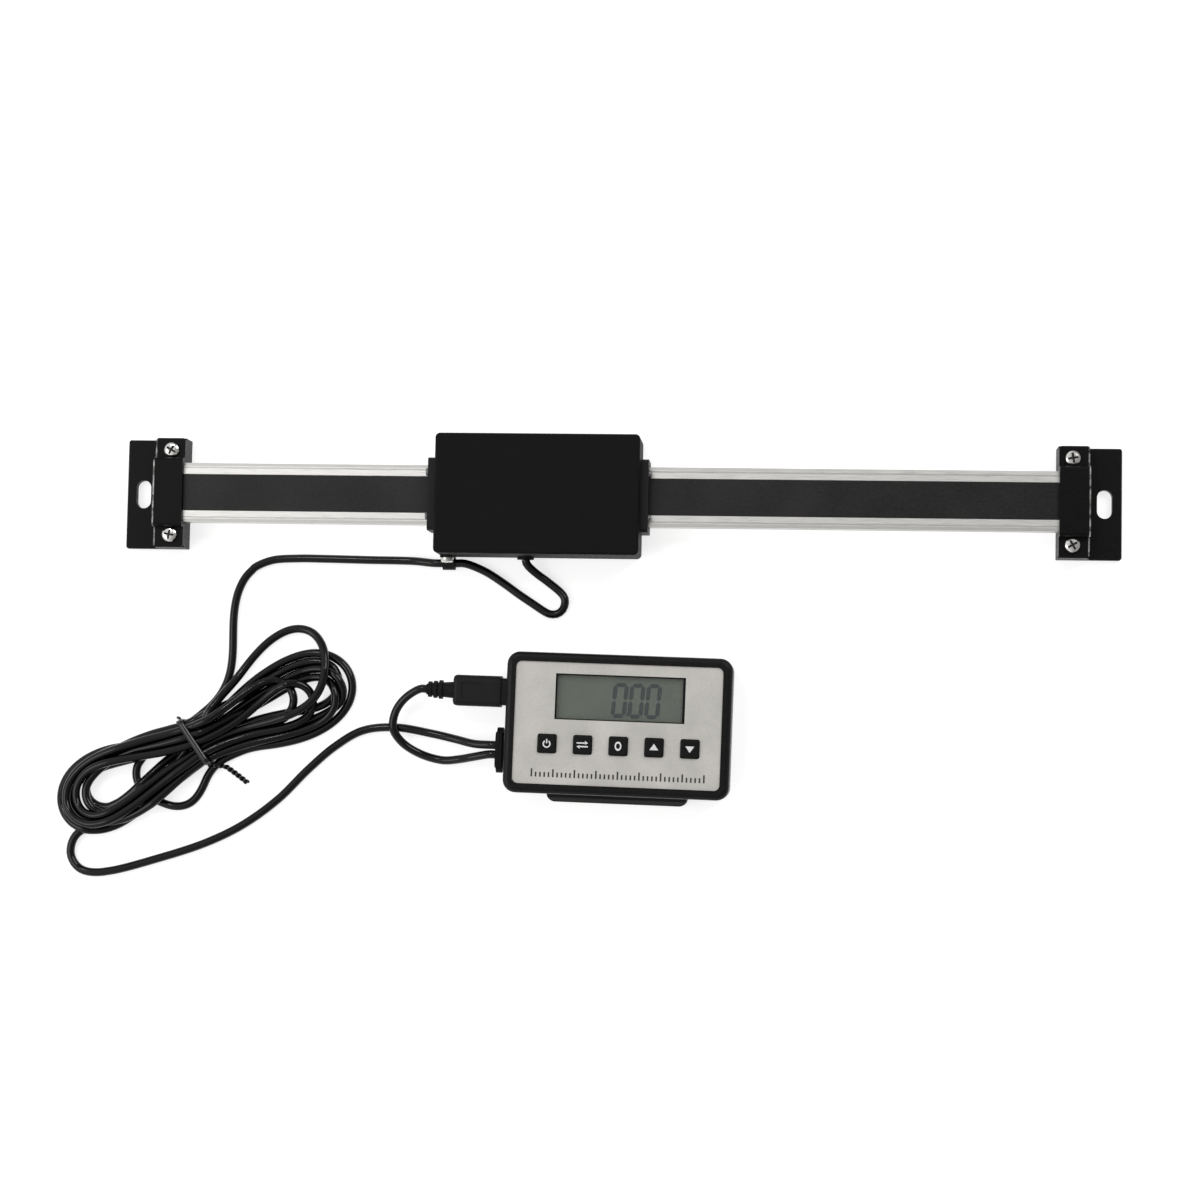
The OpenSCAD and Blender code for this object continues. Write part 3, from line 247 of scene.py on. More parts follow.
def smooth(points, step):
    """Points at even steps along a smooth curve through the given ones. A fourth number of a
    point, how firmly it stays, is carried along."""
    p = np.array([tuple(q) + (LOOSE,) * (4 - len(q)) for q in points], float)
    p = np.vstack([2 * p[0] - p[1], p, 2 * p[-1] - p[-2]])
    out = []
    for i in range(1, len(p) - 2):
        a, b, c, d = p[i - 1:i + 3]
        t0 = 0.0
        t1 = t0 + np.linalg.norm((b - a)[:3]) ** 0.5
        t2 = t1 + np.linalg.norm((c - b)[:3]) ** 0.5
        t3 = t2 + np.linalg.norm((d - c)[:3]) ** 0.5
        for t in np.linspace(t1, t2, SMOOTH_PARTS, endpoint=False):
            a1 = (t1 - t) / (t1 - t0) * a + (t - t0) / (t1 - t0) * b
            a2 = (t2 - t) / (t2 - t1) * b + (t - t1) / (t2 - t1) * c
            a3 = (t3 - t) / (t3 - t2) * c + (t - t2) / (t3 - t2) * d
            b1 = (t2 - t) / (t2 - t0) * a1 + (t - t0) / (t2 - t0) * a2
            b2 = (t3 - t) / (t3 - t1) * a2 + (t - t1) / (t3 - t1) * a3
            out.append((t2 - t) / (t2 - t1) * b1 + (t - t1) / (t2 - t1) * b2)
    out.append(p[-2])
    out = np.array(out)
    gone = np.linalg.norm(np.diff(out[:, :3], axis=0), axis=1)
    walked = np.concatenate([[0], np.cumsum(gone)])
    at = np.linspace(0, walked[-1], max(2, int(round(walked[-1] / step)) + 1))
    return np.stack([np.interp(at, walked, out[:, k]) for k in range(4)], axis=1)


def too_tight(p, gap):
    """How far each bend is below the tightest radius, 0 to 1, and the way to its inside."""
    inward = (p[:-2 * gap] + p[2 * gap:]) / 2 - p[gap:-gap]
    deep = np.maximum(np.linalg.norm(inward, axis=1), TINY)
    half = np.linalg.norm(p[2 * gap:] - p[:-2 * gap], axis=1) / 2
    return np.clip(1 - (half ** 2 + deep ** 2) / (2 * deep) / TIGHTEST, 0, 1), inward


def straighten(p, free):
    """Makes the cable stiff, and opens the bends that are too tight."""
    for gap, share in STIFFNESS:
        bend = np.zeros_like(p)
        bend[2 * gap:-2 * gap] = (
            -p[:-4 * gap] + 4 * p[gap:-3 * gap] - 6 * p[2 * gap:-2 * gap]
            + 4 * p[3 * gap:-gap] - p[4 * gap:]) / 6
        p += share * bend * free
    for gap in OPEN_GAPS:
        tight, inward = too_tight(p, gap)
        p[gap:-gap] += OPEN_SHARE * tight[:, None] * inward * free[gap:-gap]


def keep_length(p, rest, free):
    """Draws each point and the next towards their distance at rest."""
    step = np.diff(p, axis=0)
    long = np.linalg.norm(step, axis=1)
    pull = step * ((long - rest) / np.maximum(long, TINY) * 0.5)[:, None]
    move = np.zeros_like(p)
    move[:-1] += pull
    move[1:] -= pull
    p += LENGTH_SHARE * move * free


def keep_apart(p, i, j, free):
    """Pushes the points i and j a diameter apart, and all of them up onto the surface."""
    apart = p[i] - p[j]
    far = np.linalg.norm(apart, axis=1)
    hit = far < CABLE_D
    push = apart[hit] * ((CABLE_D - far[hit]) / np.maximum(far[hit], TINY) * 0.5)[:, None]
    move, count = np.zeros_like(p), np.ones(len(p))
    for ends, away in ((i[hit], push), (j[hit], -push)):
        np.add.at(move, ends, away)
        np.add.at(count, ends, 1)
    p += move / np.maximum(count - 1, 1)[:, None] * PUSH_SHARE * free
    p[:, 2] = np.maximum(p[:, 2], CABLE_R)


def hold_in_tie(p, firm):
    """Keeps the cable at the hank's waist inside the tie."""
    flat = p[:, :2] - HANK_ORIGIN
    across = flat @ HANK_ACROSS
    tied = np.abs(flat @ HANK_ALONG - WAIST_U + TIE_SLANT * across) < TIE_REACH
    tied &= firm[:, 0] < UNTIED
    room = WAIST_HALF - CABLE_R
    held = np.clip(across, WAIST_V - room, WAIST_V + room)
    p[tied, :2] += (held - across)[tied, None] * HANK_ACROSS
    p[tied, 2] = np.clip(p[tied, 2], TIE_T + CABLE_R, TIE_TOP - CABLE_R)


def settle(path, first, last):
    """Lets the cable between two of its points come to rest: stiff, without kinks, apart
    from itself, on the surface and inside the tie."""
    p, firm = path[:, :3].copy(), path[:, 3:]
    start = p.copy()
    rest = np.linalg.norm(np.diff(p, axis=0), axis=1)
    free = np.zeros((len(p), 1))
    free[first:last] = 1
    index = np.arange(len(p))
    pad = KINK_GAP + KINK_SPAN // 2
    for s in range(SETTLE_STEPS):
        calm = 1 - s / SETTLE_STEPS
        if s % SEARCH_EVERY == 0:
            gap2 = ((p[:, None] - p[None]) ** 2).sum(-1)
            near = (gap2 < CLOSE ** 2) & (index[None] - index[:, None] > NEXT_POINTS)
            i, j = np.nonzero(near)
            kinked = np.pad(too_tight(p, KINK_GAP)[0], (pad - 1, pad), mode="edge")
            felt = np.convolve(kinked, np.ones(KINK_SPAN) / KINK_SPAN, mode="valid")
            rest *= 1 - TIGHTEN * felt
        p[:, 2] -= (SINK * calm + SINK_LAST) * free[:, 0]
        pull_home = np.where(firm > STEADY, firm, firm * calm)
        p[:, :2] += pull_home * (start - p)[:, :2] * free
        straighten(p, free)
        for _ in range(PASSES):
            keep_length(p, rest, free)
            keep_apart(p, i, j, free)
            hold_in_tie(p, firm)
            p = np.where(free > 0, p, start)
    return p


def fitting_end(x, y, z):
    """The first two points of a cord that leaves a fitting of the display."""
    return [display_point(x, y, z), display_point(x - STRAIGHT_END, y, z)]


def signal_path():
    """The whole way of the lead, from the head through the hank to the display's gland."""
    head = smooth(HEAD_ROUTE, POINT_STEP)
    ends = [(x, y, FLOOR_Z, HELD) for x, y in DISPLAY_ROUTE] + UP_TO_GLAND
    ends += reversed(fitting_end(GLAND_X, GLAND_Y + CORD_GAP, GLAND_Z))
    tail = smooth(ends, POINT_STEP)
    whole = smooth(HEAD_ROUTE + INTO_HANK + hank_route() + ends, POINT_STEP)
    first = len(head) - SETTLE_IN
    last = len(whole) - len(tail) + SETTLE_OUT
    middle = slice(first - STILL, last + STILL)
    out = whole[:, :3].copy()
    out[middle] = settle(whole[middle], STILL, last - first + STILL)
    return out


def cable_curve(name, p):
    """A round cable along a line of points given in millimetres. Its radius is in the points,
    because Blender adds theirs to the curve's box."""
    curve = bpy.data.curves.new(name, "CURVE")
    curve.dimensions = "3D"
    curve.bevel_depth = 1.0
    curve.bevel_resolution = 4
    curve.use_fill_caps = True
    spline = curve.splines.new("POLY")
    spline.points.add(len(p) - 1)
    spline.points.foreach_set("co", np.column_stack([p * MM, np.ones(len(p))]).ravel())
    spline.points.foreach_set("radius", [CABLE_R * MM] * len(p))
    spline.use_smooth = True
    return add_object(name, curve)


def sweep(points, section, closed):
    """Corners and faces of a bar along a line; the section is given along the hank and
    outward. Millimetres."""
    p = np.array(points)
    n, m = len(p), len(section)
    way = np.roll(p, -1, axis=0) - np.roll(p, 1, axis=0)
    if not closed:
        way[0], way[-1] = p[1] - p[0], p[-1] - p[-2]
    side = np.append(HANK_ALONG, 0.0)
    side = side - way * (way @ side / (way ** 2).sum(axis=1))[:, None]
    side /= np.linalg.norm(side, axis=1)[:, None]
    out = np.cross(side, way / np.linalg.norm(way, axis=1)[:, None])
    corners = np.concatenate([p + a * side + b * out for a, b in section], axis=1)
    faces = [(i * m + k, i * m + (k + 1) % m, (i + 1) % n * m + (k + 1) % m,
              (i + 1) % n * m + k) for i in range(n if closed else n - 1) for k in range(m)]
    if not closed:
        faces += [tuple(range(m)), tuple(range((n - 1) * m, n * m))]
    return corners.reshape(-1, 3), faces


def make_tie():
    """The twist tie: a flat wire round the hank's waist, its ends twisted into a tail."""
    half, top, r = WAIST_HALF + TIE_T / 2, TIE_TOP + TIE_T / 2, TIE_CORNER
    loop = []
    for v, z, start in ((half, top, 0), (-half, top, 90), (-half, TIE_T / 2, 180),
                        (half, TIE_T / 2, 270)):
        for a in np.radians(start + np.linspace(0, 90, CORNER_POINTS)):
            inward = (-math.copysign(r, v), -r if z == top else r)
            loop.append((v + inward[0] + r * math.cos(a), z + inward[1] + r * math.sin(a)))
    bars = [sweep([hank_point(WAIST_U - TIE_SLANT * (WAIST_V + v), WAIST_V + v, z)[:3]
                   for v, z in loop],
                  [(-TIE_W / 2, -TIE_T / 2), (TIE_W / 2, -TIE_T / 2),
                   (TIE_W / 2, TIE_T / 2), (-TIE_W / 2, TIE_T / 2)], True)]
    tail, nub = (smooth([hank_point(*q)[:3] for q in route], TAIL_STEP)[:, :3]
                 for route in (TAIL_ROUTE, NUB_ROUTE))
    walked = np.arange(len(tail)) * TAIL_STEP
    spread = np.interp(walked, TWIST_AT, TWIST_R)
    round_wire = [(WIRE_R * math.cos(a), WIRE_R * math.sin(a))
                  for a in np.linspace(0, 2 * math.pi, WIRE_SIDES, endpoint=False)]
    for start in (0, math.pi):
        turn = walked * 2 * math.pi / TWIST_PITCH + start
        offset = np.column_stack([np.cos(turn) * HANK_ALONG[0], np.cos(turn) * HANK_ALONG[1],
                                  np.sin(turn)])
        bars.append(sweep(tail + offset * spread[:, None], round_wire, False))
    bars.append(sweep(nub, round_wire, False))
    corners, faces = [], []
    for more_corners, more_faces in bars:
        faces += [tuple(len(corners) + c for c in face) for face in more_faces]
        corners += [tuple(c * MM) for c in more_corners]
    mesh = bpy.data.meshes.new("twist_tie")
    mesh.from_pydata(corners, [], faces)
    mesh.shade_smooth()
    obj = add_object("twist_tie", mesh)
    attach(obj, READOUT)
    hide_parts("hank_tie")
    return obj


def make_cords():
    """The signal lead from the head by the hank to the display, and the short plug lead."""
    lead = cable_curve("signal_lead", signal_path())
    plug = smooth(
        fitting_end(GLAND_X, GLAND_Y - CORD_GAP, GLAND_Z) + PLUG_ROUTE
        + list(reversed(fitting_end(PLUG_END_X, PLUG_Y, PLUG_Z))), PLUG_STEP)[:, :3]
    plug_lead = cable_curve("plug_cord", plug)
    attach(lead, READOUT)
    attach(plug_lead, READOUT)
    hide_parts("head_lead", "display_lead", "lead_hank")
    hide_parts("plug_lead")
    return lead, plug_lead


twist_tie = make_tie()
signal_lead, plug_cord = make_cords()

# ---------------------------------------------------------------- materials

def srgb(*values):
    """Linear colour of a display colour given in 0 to 255."""
    def one(v):
        v = v / 255
        return v / 12.92 if v <= 0.04045 else ((v + 0.055) / 1.055) ** 2.4
    if len(values) == 1:
        values = values * 3
    return tuple(one(v) for v in values) + (1.0,)


def principled(name):
    """A new material, its node tree and its shader."""
    mat = bpy.data.materials.new(name)
    mat.use_nodes = True
    tree = mat.node_tree
    return mat, tree, tree.nodes["Principled BSDF"]


def math_node(tree, operation, *values, clamp=False):
    """A Math node on numbers and sockets; gives its output."""
    node = tree.nodes.new("ShaderNodeMath")
    node.operation = operation
    node.use_clamp = clamp
    for k, value in enumerate(values):
        if isinstance(value, (int, float)):
            node.inputs[k].default_value = value
        else:
            tree.links.new(value, node.inputs[k])
    return node.outputs[0]


def noise_node(tree, per_metre, detail, place):
    """Noise at a place, with so many features per metre; gives its value."""
    node = tree.nodes.new("ShaderNodeTexNoise")
    node.inputs["Scale"].default_value = per_metre
    node.inputs["Detail"].default_value = detail
    tree.links.new(place, node.inputs["Vector"])
    return node.outputs["Fac"]


def range_node(tree, value, before, after):
    """Carries a value over from one range to another; gives the result."""
    node = tree.nodes.new("ShaderNodeMapRange")
    for name, number in zip(("From Min", "From Max", "To Min", "To Max"), before + after):
        node.inputs[name].default_value = number
    tree.links.new(value, node.inputs["Value"])
    return node.outputs["Result"]


BLOTCH_DETAIL, GRAIN_DETAIL, BUMP_DETAIL = 3, 4, 2
BLOTCH_SHARE, GRAIN_SHARE = 0.6, 0.4
TONES_AT = (0.35, 0.65)                 # noise values of the dark and of the light tone
GLOSS_FROM = (0.3, 0.7)                 # noise values of the least and the most roughness


def surface(name, dark, light, rough, scale=(1, 1, 1), grain=900, bump=0.0, bump_grain=2600,
            blotch=60, **sockets):
    """A finish whose colour wanders between two tones, with grain in its gloss and relief.
    Blotches and grain are in features per metre, and scale stretches them. Rough is the
    least and the most roughness, and bump the relief's height in millimetres."""
    mat, tree, shader = principled(name)
    middle = tree.nodes.new("ShaderNodeTexCoord")
    stretch = tree.nodes.new("ShaderNodeMapping")
    stretch.inputs["Scale"].default_value = scale
    tree.links.new(middle.outputs["Object"], stretch.inputs["Vector"])
    place = stretch.outputs["Vector"]
    large = noise_node(tree, blotch, BLOTCH_DETAIL, place)
    fine = noise_node(tree, grain, GRAIN_DETAIL, place)
    both = math_node(tree, "MULTIPLY_ADD", large, BLOTCH_SHARE,
                     math_node(tree, "MULTIPLY", fine, GRAIN_SHARE))
    tone = tree.nodes.new("ShaderNodeValToRGB")
    for mark, at, colour in zip(tone.color_ramp.elements, TONES_AT, (dark, light)):
        mark.position, mark.color = at, colour
    tree.links.new(both, tone.inputs["Fac"])
    tree.links.new(tone.outputs["Color"], shader.inputs["Base Color"])
    tree.links.new(range_node(tree, fine, GLOSS_FROM, rough), shader.inputs["Roughness"])
    if bump:
        relief = tree.nodes.new("ShaderNodeBump")
        relief.inputs["Strength"].default_value = 1.0
        relief.inputs["Distance"].default_value = bump * MM
        tree.links.new(noise_node(tree, bump_grain, BUMP_DETAIL, place),
                       relief.inputs["Height"])
        tree.links.new(relief.outputs["Normal"], shader.inputs["Normal"])
    for socket, value in sockets.items():
        shader.inputs[socket.replace("_", " ")].default_value = value
    return mat


def black(name, tone, rough, bump, specular=0.2, grain=2600):
    """Black plastic, rubber or paint about as bright as the display tone given."""
    return surface(name, srgb(tone * 0.8), srgb(tone * 1.2), rough, bump=bump, bump_grain=grain,
                   Specular_IOR_Level=specular)


def coordinates(tree):
    """Distance from the middle along X and Y, and height, all in millimetres."""
    place = tree.nodes.new("ShaderNodeTexCoord")
    split = tree.nodes.new("ShaderNodeSeparateXYZ")
    tree.links.new(place.outputs["Object"], split.inputs["Vector"])
    x, y, z = (math_node(tree, "MULTIPLY", split.outputs[k], 1000.0) for k in range(3))
    return math_node(tree, "ABSOLUTE", x), math_node(tree, "ABSOLUTE", y), z


def mix_in(mat, mask, colour, metal):
    """Lays another colour over a finish where the mask is 1. Metal is the metalness outside
    the mask and inside it."""
    tree = mat.node_tree
    shader = tree.nodes["Principled BSDF"]
    mix = tree.nodes.new("ShaderNodeMix")
    mix.data_type = "RGBA"
    tree.links.new(mask, mix.inputs["Factor"])
    tree.links.new(shader.inputs["Base Color"].links[0].from_socket, mix.inputs[6])
    mix.inputs[7].default_value = colour
    tree.links.new(mix.outputs[2], shader.inputs["Base Color"])
    tree.links.new(math_node(tree, "MULTIPLY_ADD", mask, metal[1] - metal[0], metal[0]),
                   shader.inputs["Metallic"])
    return mat


EDGE_HIGHLIGHT_HALF = 0.25                        # half the width of the painted highlight line on the strap's outer arris, millimetres
HIGHLIGHT_PATCHES, HIGHLIGHT_GAIN, HIGHLIGHT_START = 420, 3.2, -1.1
# Colours of the painted edge highlight on the straps and of the painted shade in the screw
# recesses
HIGHLIGHT_METAL, RECESS_SHADE = (0.42, 0.42, 0.41, 1), (0.012, 0.012, 0.012, 1)
RECESS_R, RECESS_START = 1.75, 0.12     # reach of the painted shade round a recess, and how far below the top it starts


def painted_edge_highlight(name, *finish):
    """Black straps with a painted highlight on their outer arris, laid on as patches of bright
    bare metal.
    """
    mat = black(name, *finish)
    tree = mat.node_tree
    along = coordinates(tree)[0]
    place = tree.nodes.new("ShaderNodeTexCoord")
    patches = noise_node(tree, HIGHLIGHT_PATCHES, 3, place.outputs["Object"])
    # Painted highlight: patches of bright bare metal along the strap's outer arris
    edge_highlight = math_node(
        tree, "MULTIPLY", math_node(tree, "COMPARE", along, STRAP_EDGE_X, EDGE_HIGHLIGHT_HALF),
        math_node(tree, "MULTIPLY_ADD", patches, HIGHLIGHT_GAIN, HIGHLIGHT_START, clamp=True))
    return mix_in(mat, edge_highlight, HIGHLIGHT_METAL, metal=(0.0, 0.8))


def nickel_with_painted_recess_shade():
    """Bright screws with painted shade in their cross recesses."""
    mat = surface("clamp_nickel", (0.66, 0.65, 0.63, 1), (0.84, 0.83, 0.81, 1), (0.1, 0.22),
                  grain=2400, bump=0.002, Metallic=1.0)
    tree = mat.node_tree
    along, across, up = coordinates(tree)
    off_x, off_y = (
        math_node(tree, "POWER", math_node(tree, "SUBTRACT", at, middle), 2.0)
        for at, middle in ((along, CLAMP_SCREW_X), (across, CLAMP_SCREW_Y)))
    away = math_node(tree, "SQRT", math_node(tree, "ADD", off_x, off_y))
    # Painted shade: dark, not metal, inside the cross recess of each clamp screw
    near = math_node(tree, "LESS_THAN", away, RECESS_R)
    low = math_node(tree, "LESS_THAN", up, CLAMP_SCREW_TOP - RECESS_START)
    return mix_in(mat, math_node(tree, "MULTIPLY", near, low), RECESS_SHADE, metal=(1.0, 0.0))


FINISHES = {
    "aluminium": surface("aluminium", (0.74, 0.73, 0.71, 1), (0.82, 0.81, 0.79, 1), (0.26, 0.4),
                         scale=(0.03, 1, 1), grain=5200, bump=0.004, bump_grain=5200,
                         Metallic=1.0),
    "strip": surface("scale_strip", srgb(20), srgb(32), (0.34, 0.5), grain=1500,
                     bump=0.003, Specular_IOR_Level=0.25),
    "film": surface("strip_film", srgb(19), srgb(33), (0.3, 0.46), grain=1200, blotch=55,
                    bump=0.003, bump_grain=1400, Specular_IOR_Level=0.25),
    "bracket": black("bracket_black", 9, (0.36, 0.52), 0.006, 0.12),
    "clamp": painted_edge_highlight("clamp_black", 5, (0.34, 0.5), 0.006, 0.12),
    "head": black("head_black", 11, (0.5, 0.66), 0.012, 0.1),
    "base": black("base_black", 16, (0.5, 0.66), 0.01, 0.12),
    "guard": black("guard_black", 21, (0.42, 0.6), 0.012, 0.2),
    "case": black("case_black", 12, (0.3, 0.46), 0.008, 0.16),
    "foot": black("foot_black", 20, (0.45, 0.6), 0.01, 0.2),
    "key": black("key_black", 12, (0.4, 0.55), 0.008, 0.14),
    "rubber": black("rubber_black", 12, (0.5, 0.7), 0.02, 0.16, 1800),
    "plug": black("plug_black", 13, (0.42, 0.58), 0.014, 0.2),
    "cable": black("cable_black", 6, (0.1, 0.18), 0.006, 0.3, 1500),
    "tie": black("tie_black", 12, (0.16, 0.3), 0.012, 0.5, 1500),
    "nickel": surface("nickel", (0.62, 0.61, 0.59, 1), (0.8, 0.79, 0.77, 1), (0.14, 0.3),
                      grain=2400, bump=0.002, Metallic=1.0),
    "clamp_nickel": nickel_with_painted_recess_shade(),
    "dark_steel": surface("dark_steel", (0.1, 0.1, 0.105, 1), (0.2, 0.2, 0.205, 1), (0.25, 0.4),
                          grain=2400, bump=0.004, Metallic=1.0),
    "spring": surface("spring_steel", (0.45, 0.46, 0.48, 1), (0.6, 0.61, 0.63, 1), (0.2, 0.32),
                      scale=(0.05, 1, 1), grain=4000, bump=0.003, Metallic=1.0),
    "brass": surface("brass", (0.6, 0.42, 0.16, 1), (0.75, 0.54, 0.22, 1), (0.25, 0.4),
                     bump=0.004, Metallic=1.0),
    "plate": surface("face_plate", srgb(177, 175, 170), srgb(196, 193, 188), (0.36, 0.5),
                     grain=2400, blotch=90, bump=0.003, Specular_IOR_Level=0.3),
    "lcd": surface("lcd_green_grey", srgb(74, 80, 73), srgb(86, 92, 83), (0.4, 0.55),
                   blotch=120, bump=0.002, Specular_IOR_Level=0.1),
    "segment": surface("lcd_segment", srgb(18, 21, 28), srgb(28, 32, 40), (0.4, 0.55),
                       Specular_IOR_Level=0.1),
    "white_ink": surface("white_ink", srgb(206), srgb(226), (0.5, 0.65), bump=0.004),
    "dark_ink": surface("dark_ink", srgb(26), srgb(40), (0.45, 0.6), bump=0.004),
    # Black for the painted shade along the display window's inner edges
    "painted_shade_black": surface("painted_shade_black", srgb(8), srgb(14), (0.4, 0.55), Specular_IOR_Level=0.15),
    "board": surface("circuit_board", (0.008, 0.075, 0.028, 1), (0.014, 0.11, 0.042, 1),
                     (0.3, 0.45), bump=0.01),
    "chip": black("chip_black", 24, (0.4, 0.55), 0.01),
    "cream": surface("cream_plastic", srgb(214, 208, 190), srgb(228, 222, 206), (0.4, 0.55),
                     bump=0.006),
    "acetal": surface("acetal", srgb(222, 220, 210), srgb(236, 234, 226), (0.35, 0.5),
                      bump=0.006),
    "felt": surface("felt", srgb(54, 53, 48), srgb(78, 76, 70), (0.85, 0.95), grain=5000,
                    bump=0.08, bump_grain=4500, Sheen_Weight=0.3),
}


LENS_TINT, LENS_ALPHA = (0.5, 0.53, 0.5, 1), 0.06
LENS_GRAIN, LENS_ROUGH = 400, (0.02, 0.1)


def clear_lens():
    """The thin clear window over the liquid crystal panel."""
    mat, tree, shader = principled("clear_lens")
    shader.inputs["Base Color"].default_value = LENS_TINT
    shader.inputs["Alpha"].default_value = LENS_ALPHA
    place = tree.nodes.new("ShaderNodeTexCoord")
    grain = noise_node(tree, LENS_GRAIN, 2, place.outputs["Generated"])
    tree.links.new(range_node(tree, grain, (0, 1), LENS_ROUGH), shader.inputs["Roughness"])
    return mat


FINISHES["lens"] = clear_lens()
NODE_FINISH = {
    "aluminium": ["beam"], "strip": ["scale_strip"], "film": ["strip_film"],
    "bracket": ["left_bracket", "right_bracket"], "clamp": ["left_clamp", "right_clamp"],
    "clamp_nickel": ["clamp_screws"],
    "nickel": ["clip_screw", "plug_shell", "usb_socket", "coin_cell", "display_magnets"],
    "dark_steel": ["cover_screws", "guard_screws", "board_screws", "case_screws",
                   "foot_screws"],
    "head": ["head_cover"], "base": ["head_base"], "guard": ["left_guard", "right_guard"],
    "felt": ["left_wiper", "right_wiper"], "acetal": ["guide_shoes"], "spring": ["leaf_spring"],
    "board": ["sensor_board", "display_board"], "chip": ["sensor_chip", "key_switches"],
    "cream": ["board_connector"],
    "rubber": ["head_grommet", "display_gland", "plug_relief", "lcd_connectors"],
    "plug": ["plug_body", "cable_clip"],
    "cable": ["head_lead", "display_lead", "plug_lead", "lead_hank"], "tie": ["hank_tie"],
    "case": ["display_back", "display_front", "battery_door"], "plate": ["face_plate"],
    "lens": ["display_lens"], "lcd": ["lcd_glass"],
    "key": ["key_1", "key_2", "key_3", "key_4", "key_5"], "brass": ["cell_contact"],
    "foot": ["display_foot"]}


def paint(obj, finish):
    """Gives a piece one of the finishes, in every slot it has."""
    mats = obj.data.materials
    if not len(mats):
        mats.append(FINISHES[finish])
    for k in range(len(mats)):
        mats[k] = FINISHES[finish]


for finish, names in NODE_FINISH.items():
    for name in names:
        paint(NODES[name], finish)
for cord in (signal_lead, plug_cord):
    paint(cord, "cable")
paint(twist_tie, "tie")

# ---------------------------------------------------------------- print and digits

INK, SHADE_FRAME_THICKNESS = 0.03, 0.02            # thickness of what is printed, and of the painted shade frame, in millimetres
ON_PRINT, ON_LENS, ON_GLASS = 0.005, 0.01, 0.03     # its height above what carries it
DIGITS, DIGIT_X, DIGIT_Y, DIGIT_PITCH = 3, 0.28, 7.9, 5.23
DIGIT_HALF_W, DIGIT_HALF_H, SEGMENT_W = 1.75, 4.85, 1.3
SEGMENT_GAP, DIGIT_LEAN = 0.1, 0.07
DECIMAL_POINT = (2.5, 3, 3.2, 3.7)
# Widths of the black frame of painted shade inside the window, widest on the right
BORDER_LEFT, BORDER_RIGHT, BORDER_LOW, BORDER_HIGH = 0.45, 0.85, 0.35, 0.4
SIGN_STROKE, ARC_PARTS = 0.42, 20
TICKS, TICK_X, TICK_Y, TICK_PITCH = 41, -26.4, -16.9, 1.35
TICK_W, TICK_SHORT, TICK_LONG, LONG_EVERY = 0.5, 1.5, 2.5, 5


def prism(name, outlines, z, finish, body=READOUT, height=INK):
    """Flat shapes given in the display's frame, as thin closed prisms on a surface."""
    verts, faces = [], []
    for outline in outlines:
        n, first = len(outline), len(verts)
        for up in (z, z + height):
            verts += [tuple(c * MM for c in display_point(x, y, up)) for x, y in outline]
        faces.append([first + k for k in reversed(range(n))])
        faces.append([first + n + k for k in range(n)])
        faces += [[first + k, first + (k + 1) % n, first + n + (k + 1) % n, first + n + k]
                  for k in range(n)]
    mesh = bpy.data.meshes.new(name)
    mesh.from_pydata(verts, [], faces)
    obj = add_object(name, mesh)
    paint(obj, finish)
    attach(obj, body)
    return obj


def box(x0, y0, x1, y1):
    """A rectangle between two corners."""
    return [(x0, y0), (x1, y0), (x1, y1), (x0, y1)]


def bar(x0, y0, x1, y1, width):
    """A straight stroke between two points."""
    length = math.hypot(x1 - x0, y1 - y0)
    dx, dy = (x1 - x0) / length * width / 2, (y1 - y0) / length * width / 2
    return [(x0 + dy, y0 - dx), (x1 + dy, y1 - dx), (x1 - dy, y1 + dx), (x0 - dy, y0 + dx)]


def arc(x, y, radius, first, last, width, tall=1.0):
    """A curved stroke about a point, as short strokes that share their ends."""
    out = []
    for k in range(ARC_PARTS):
        a, b = (math.radians(first + (last - first) * j / ARC_PARTS) for j in (k, k + 1))
        inner, outer = radius - width / 2, radius + width / 2
        out.append([(x + r * math.cos(t), y + r * math.sin(t) * tall)
                    for r, t in ((inner, a), (outer, a), (outer, b), (inner, b))])
    return out


def digit_nought(x, y):
    """The six lit segments of a nought, leaning a little to the right."""
    half_w, half_h, gap, t = DIGIT_HALF_W, DIGIT_HALF_H, SEGMENT_GAP, SEGMENT_W / 2

    def upright(side, y0, y1):
        return [(side, y0), (side + t, y0 + t), (side + t, y1 - t), (side, y1),
                (side - t, y1 - t), (side - t, y0 + t)]

    def level(up):
        return [(-half_w + gap, up), (-half_w + t + gap, up - t), (half_w - t - gap, up - t),
                (half_w - gap, up), (half_w - t - gap, up + t), (-half_w + t + gap, up + t)]

    shapes = [level(half_h), level(-half_h)]
    for side in (-half_w, half_w):
        shapes += [upright(side, gap, half_h - gap), upright(side, -half_h + gap, -gap)]
    return [[(x + a + b * DIGIT_LEAN, y + b) for a, b in shape] for shape in shapes]


def key_signs(x, y):
    """Plain signs for the five keys: power, units, nought, up and down."""
    stroke = SIGN_STROKE
    return [
        arc(x, y - 0.1, 1.05, 125, 415, stroke) + [bar(x, y + 0.1, x, y + 1.4, stroke)],
        [bar(x - 1.8, y + 0.55, x + 0.9, y + 0.55, stroke),
         [(x + 0.8, y + 0.1), (x + 1.8, y + 0.55), (x + 0.8, y + 1.25)],
         bar(x + 1.8, y - 0.55, x - 0.9, y - 0.55, stroke),
         [(x - 0.8, y - 0.1), (x - 1.8, y - 0.55), (x - 0.8, y - 1.25)]],
        arc(x, y, 0.85, 0, 360, stroke, tall=1.35),
        [[(x - 1.4, y - 0.8), (x + 1.4, y - 0.8), (x, y + 1.2)]],
        [[(x - 1.4, y + 0.8), (x, y - 1.2), (x + 1.4, y + 0.8)]]]


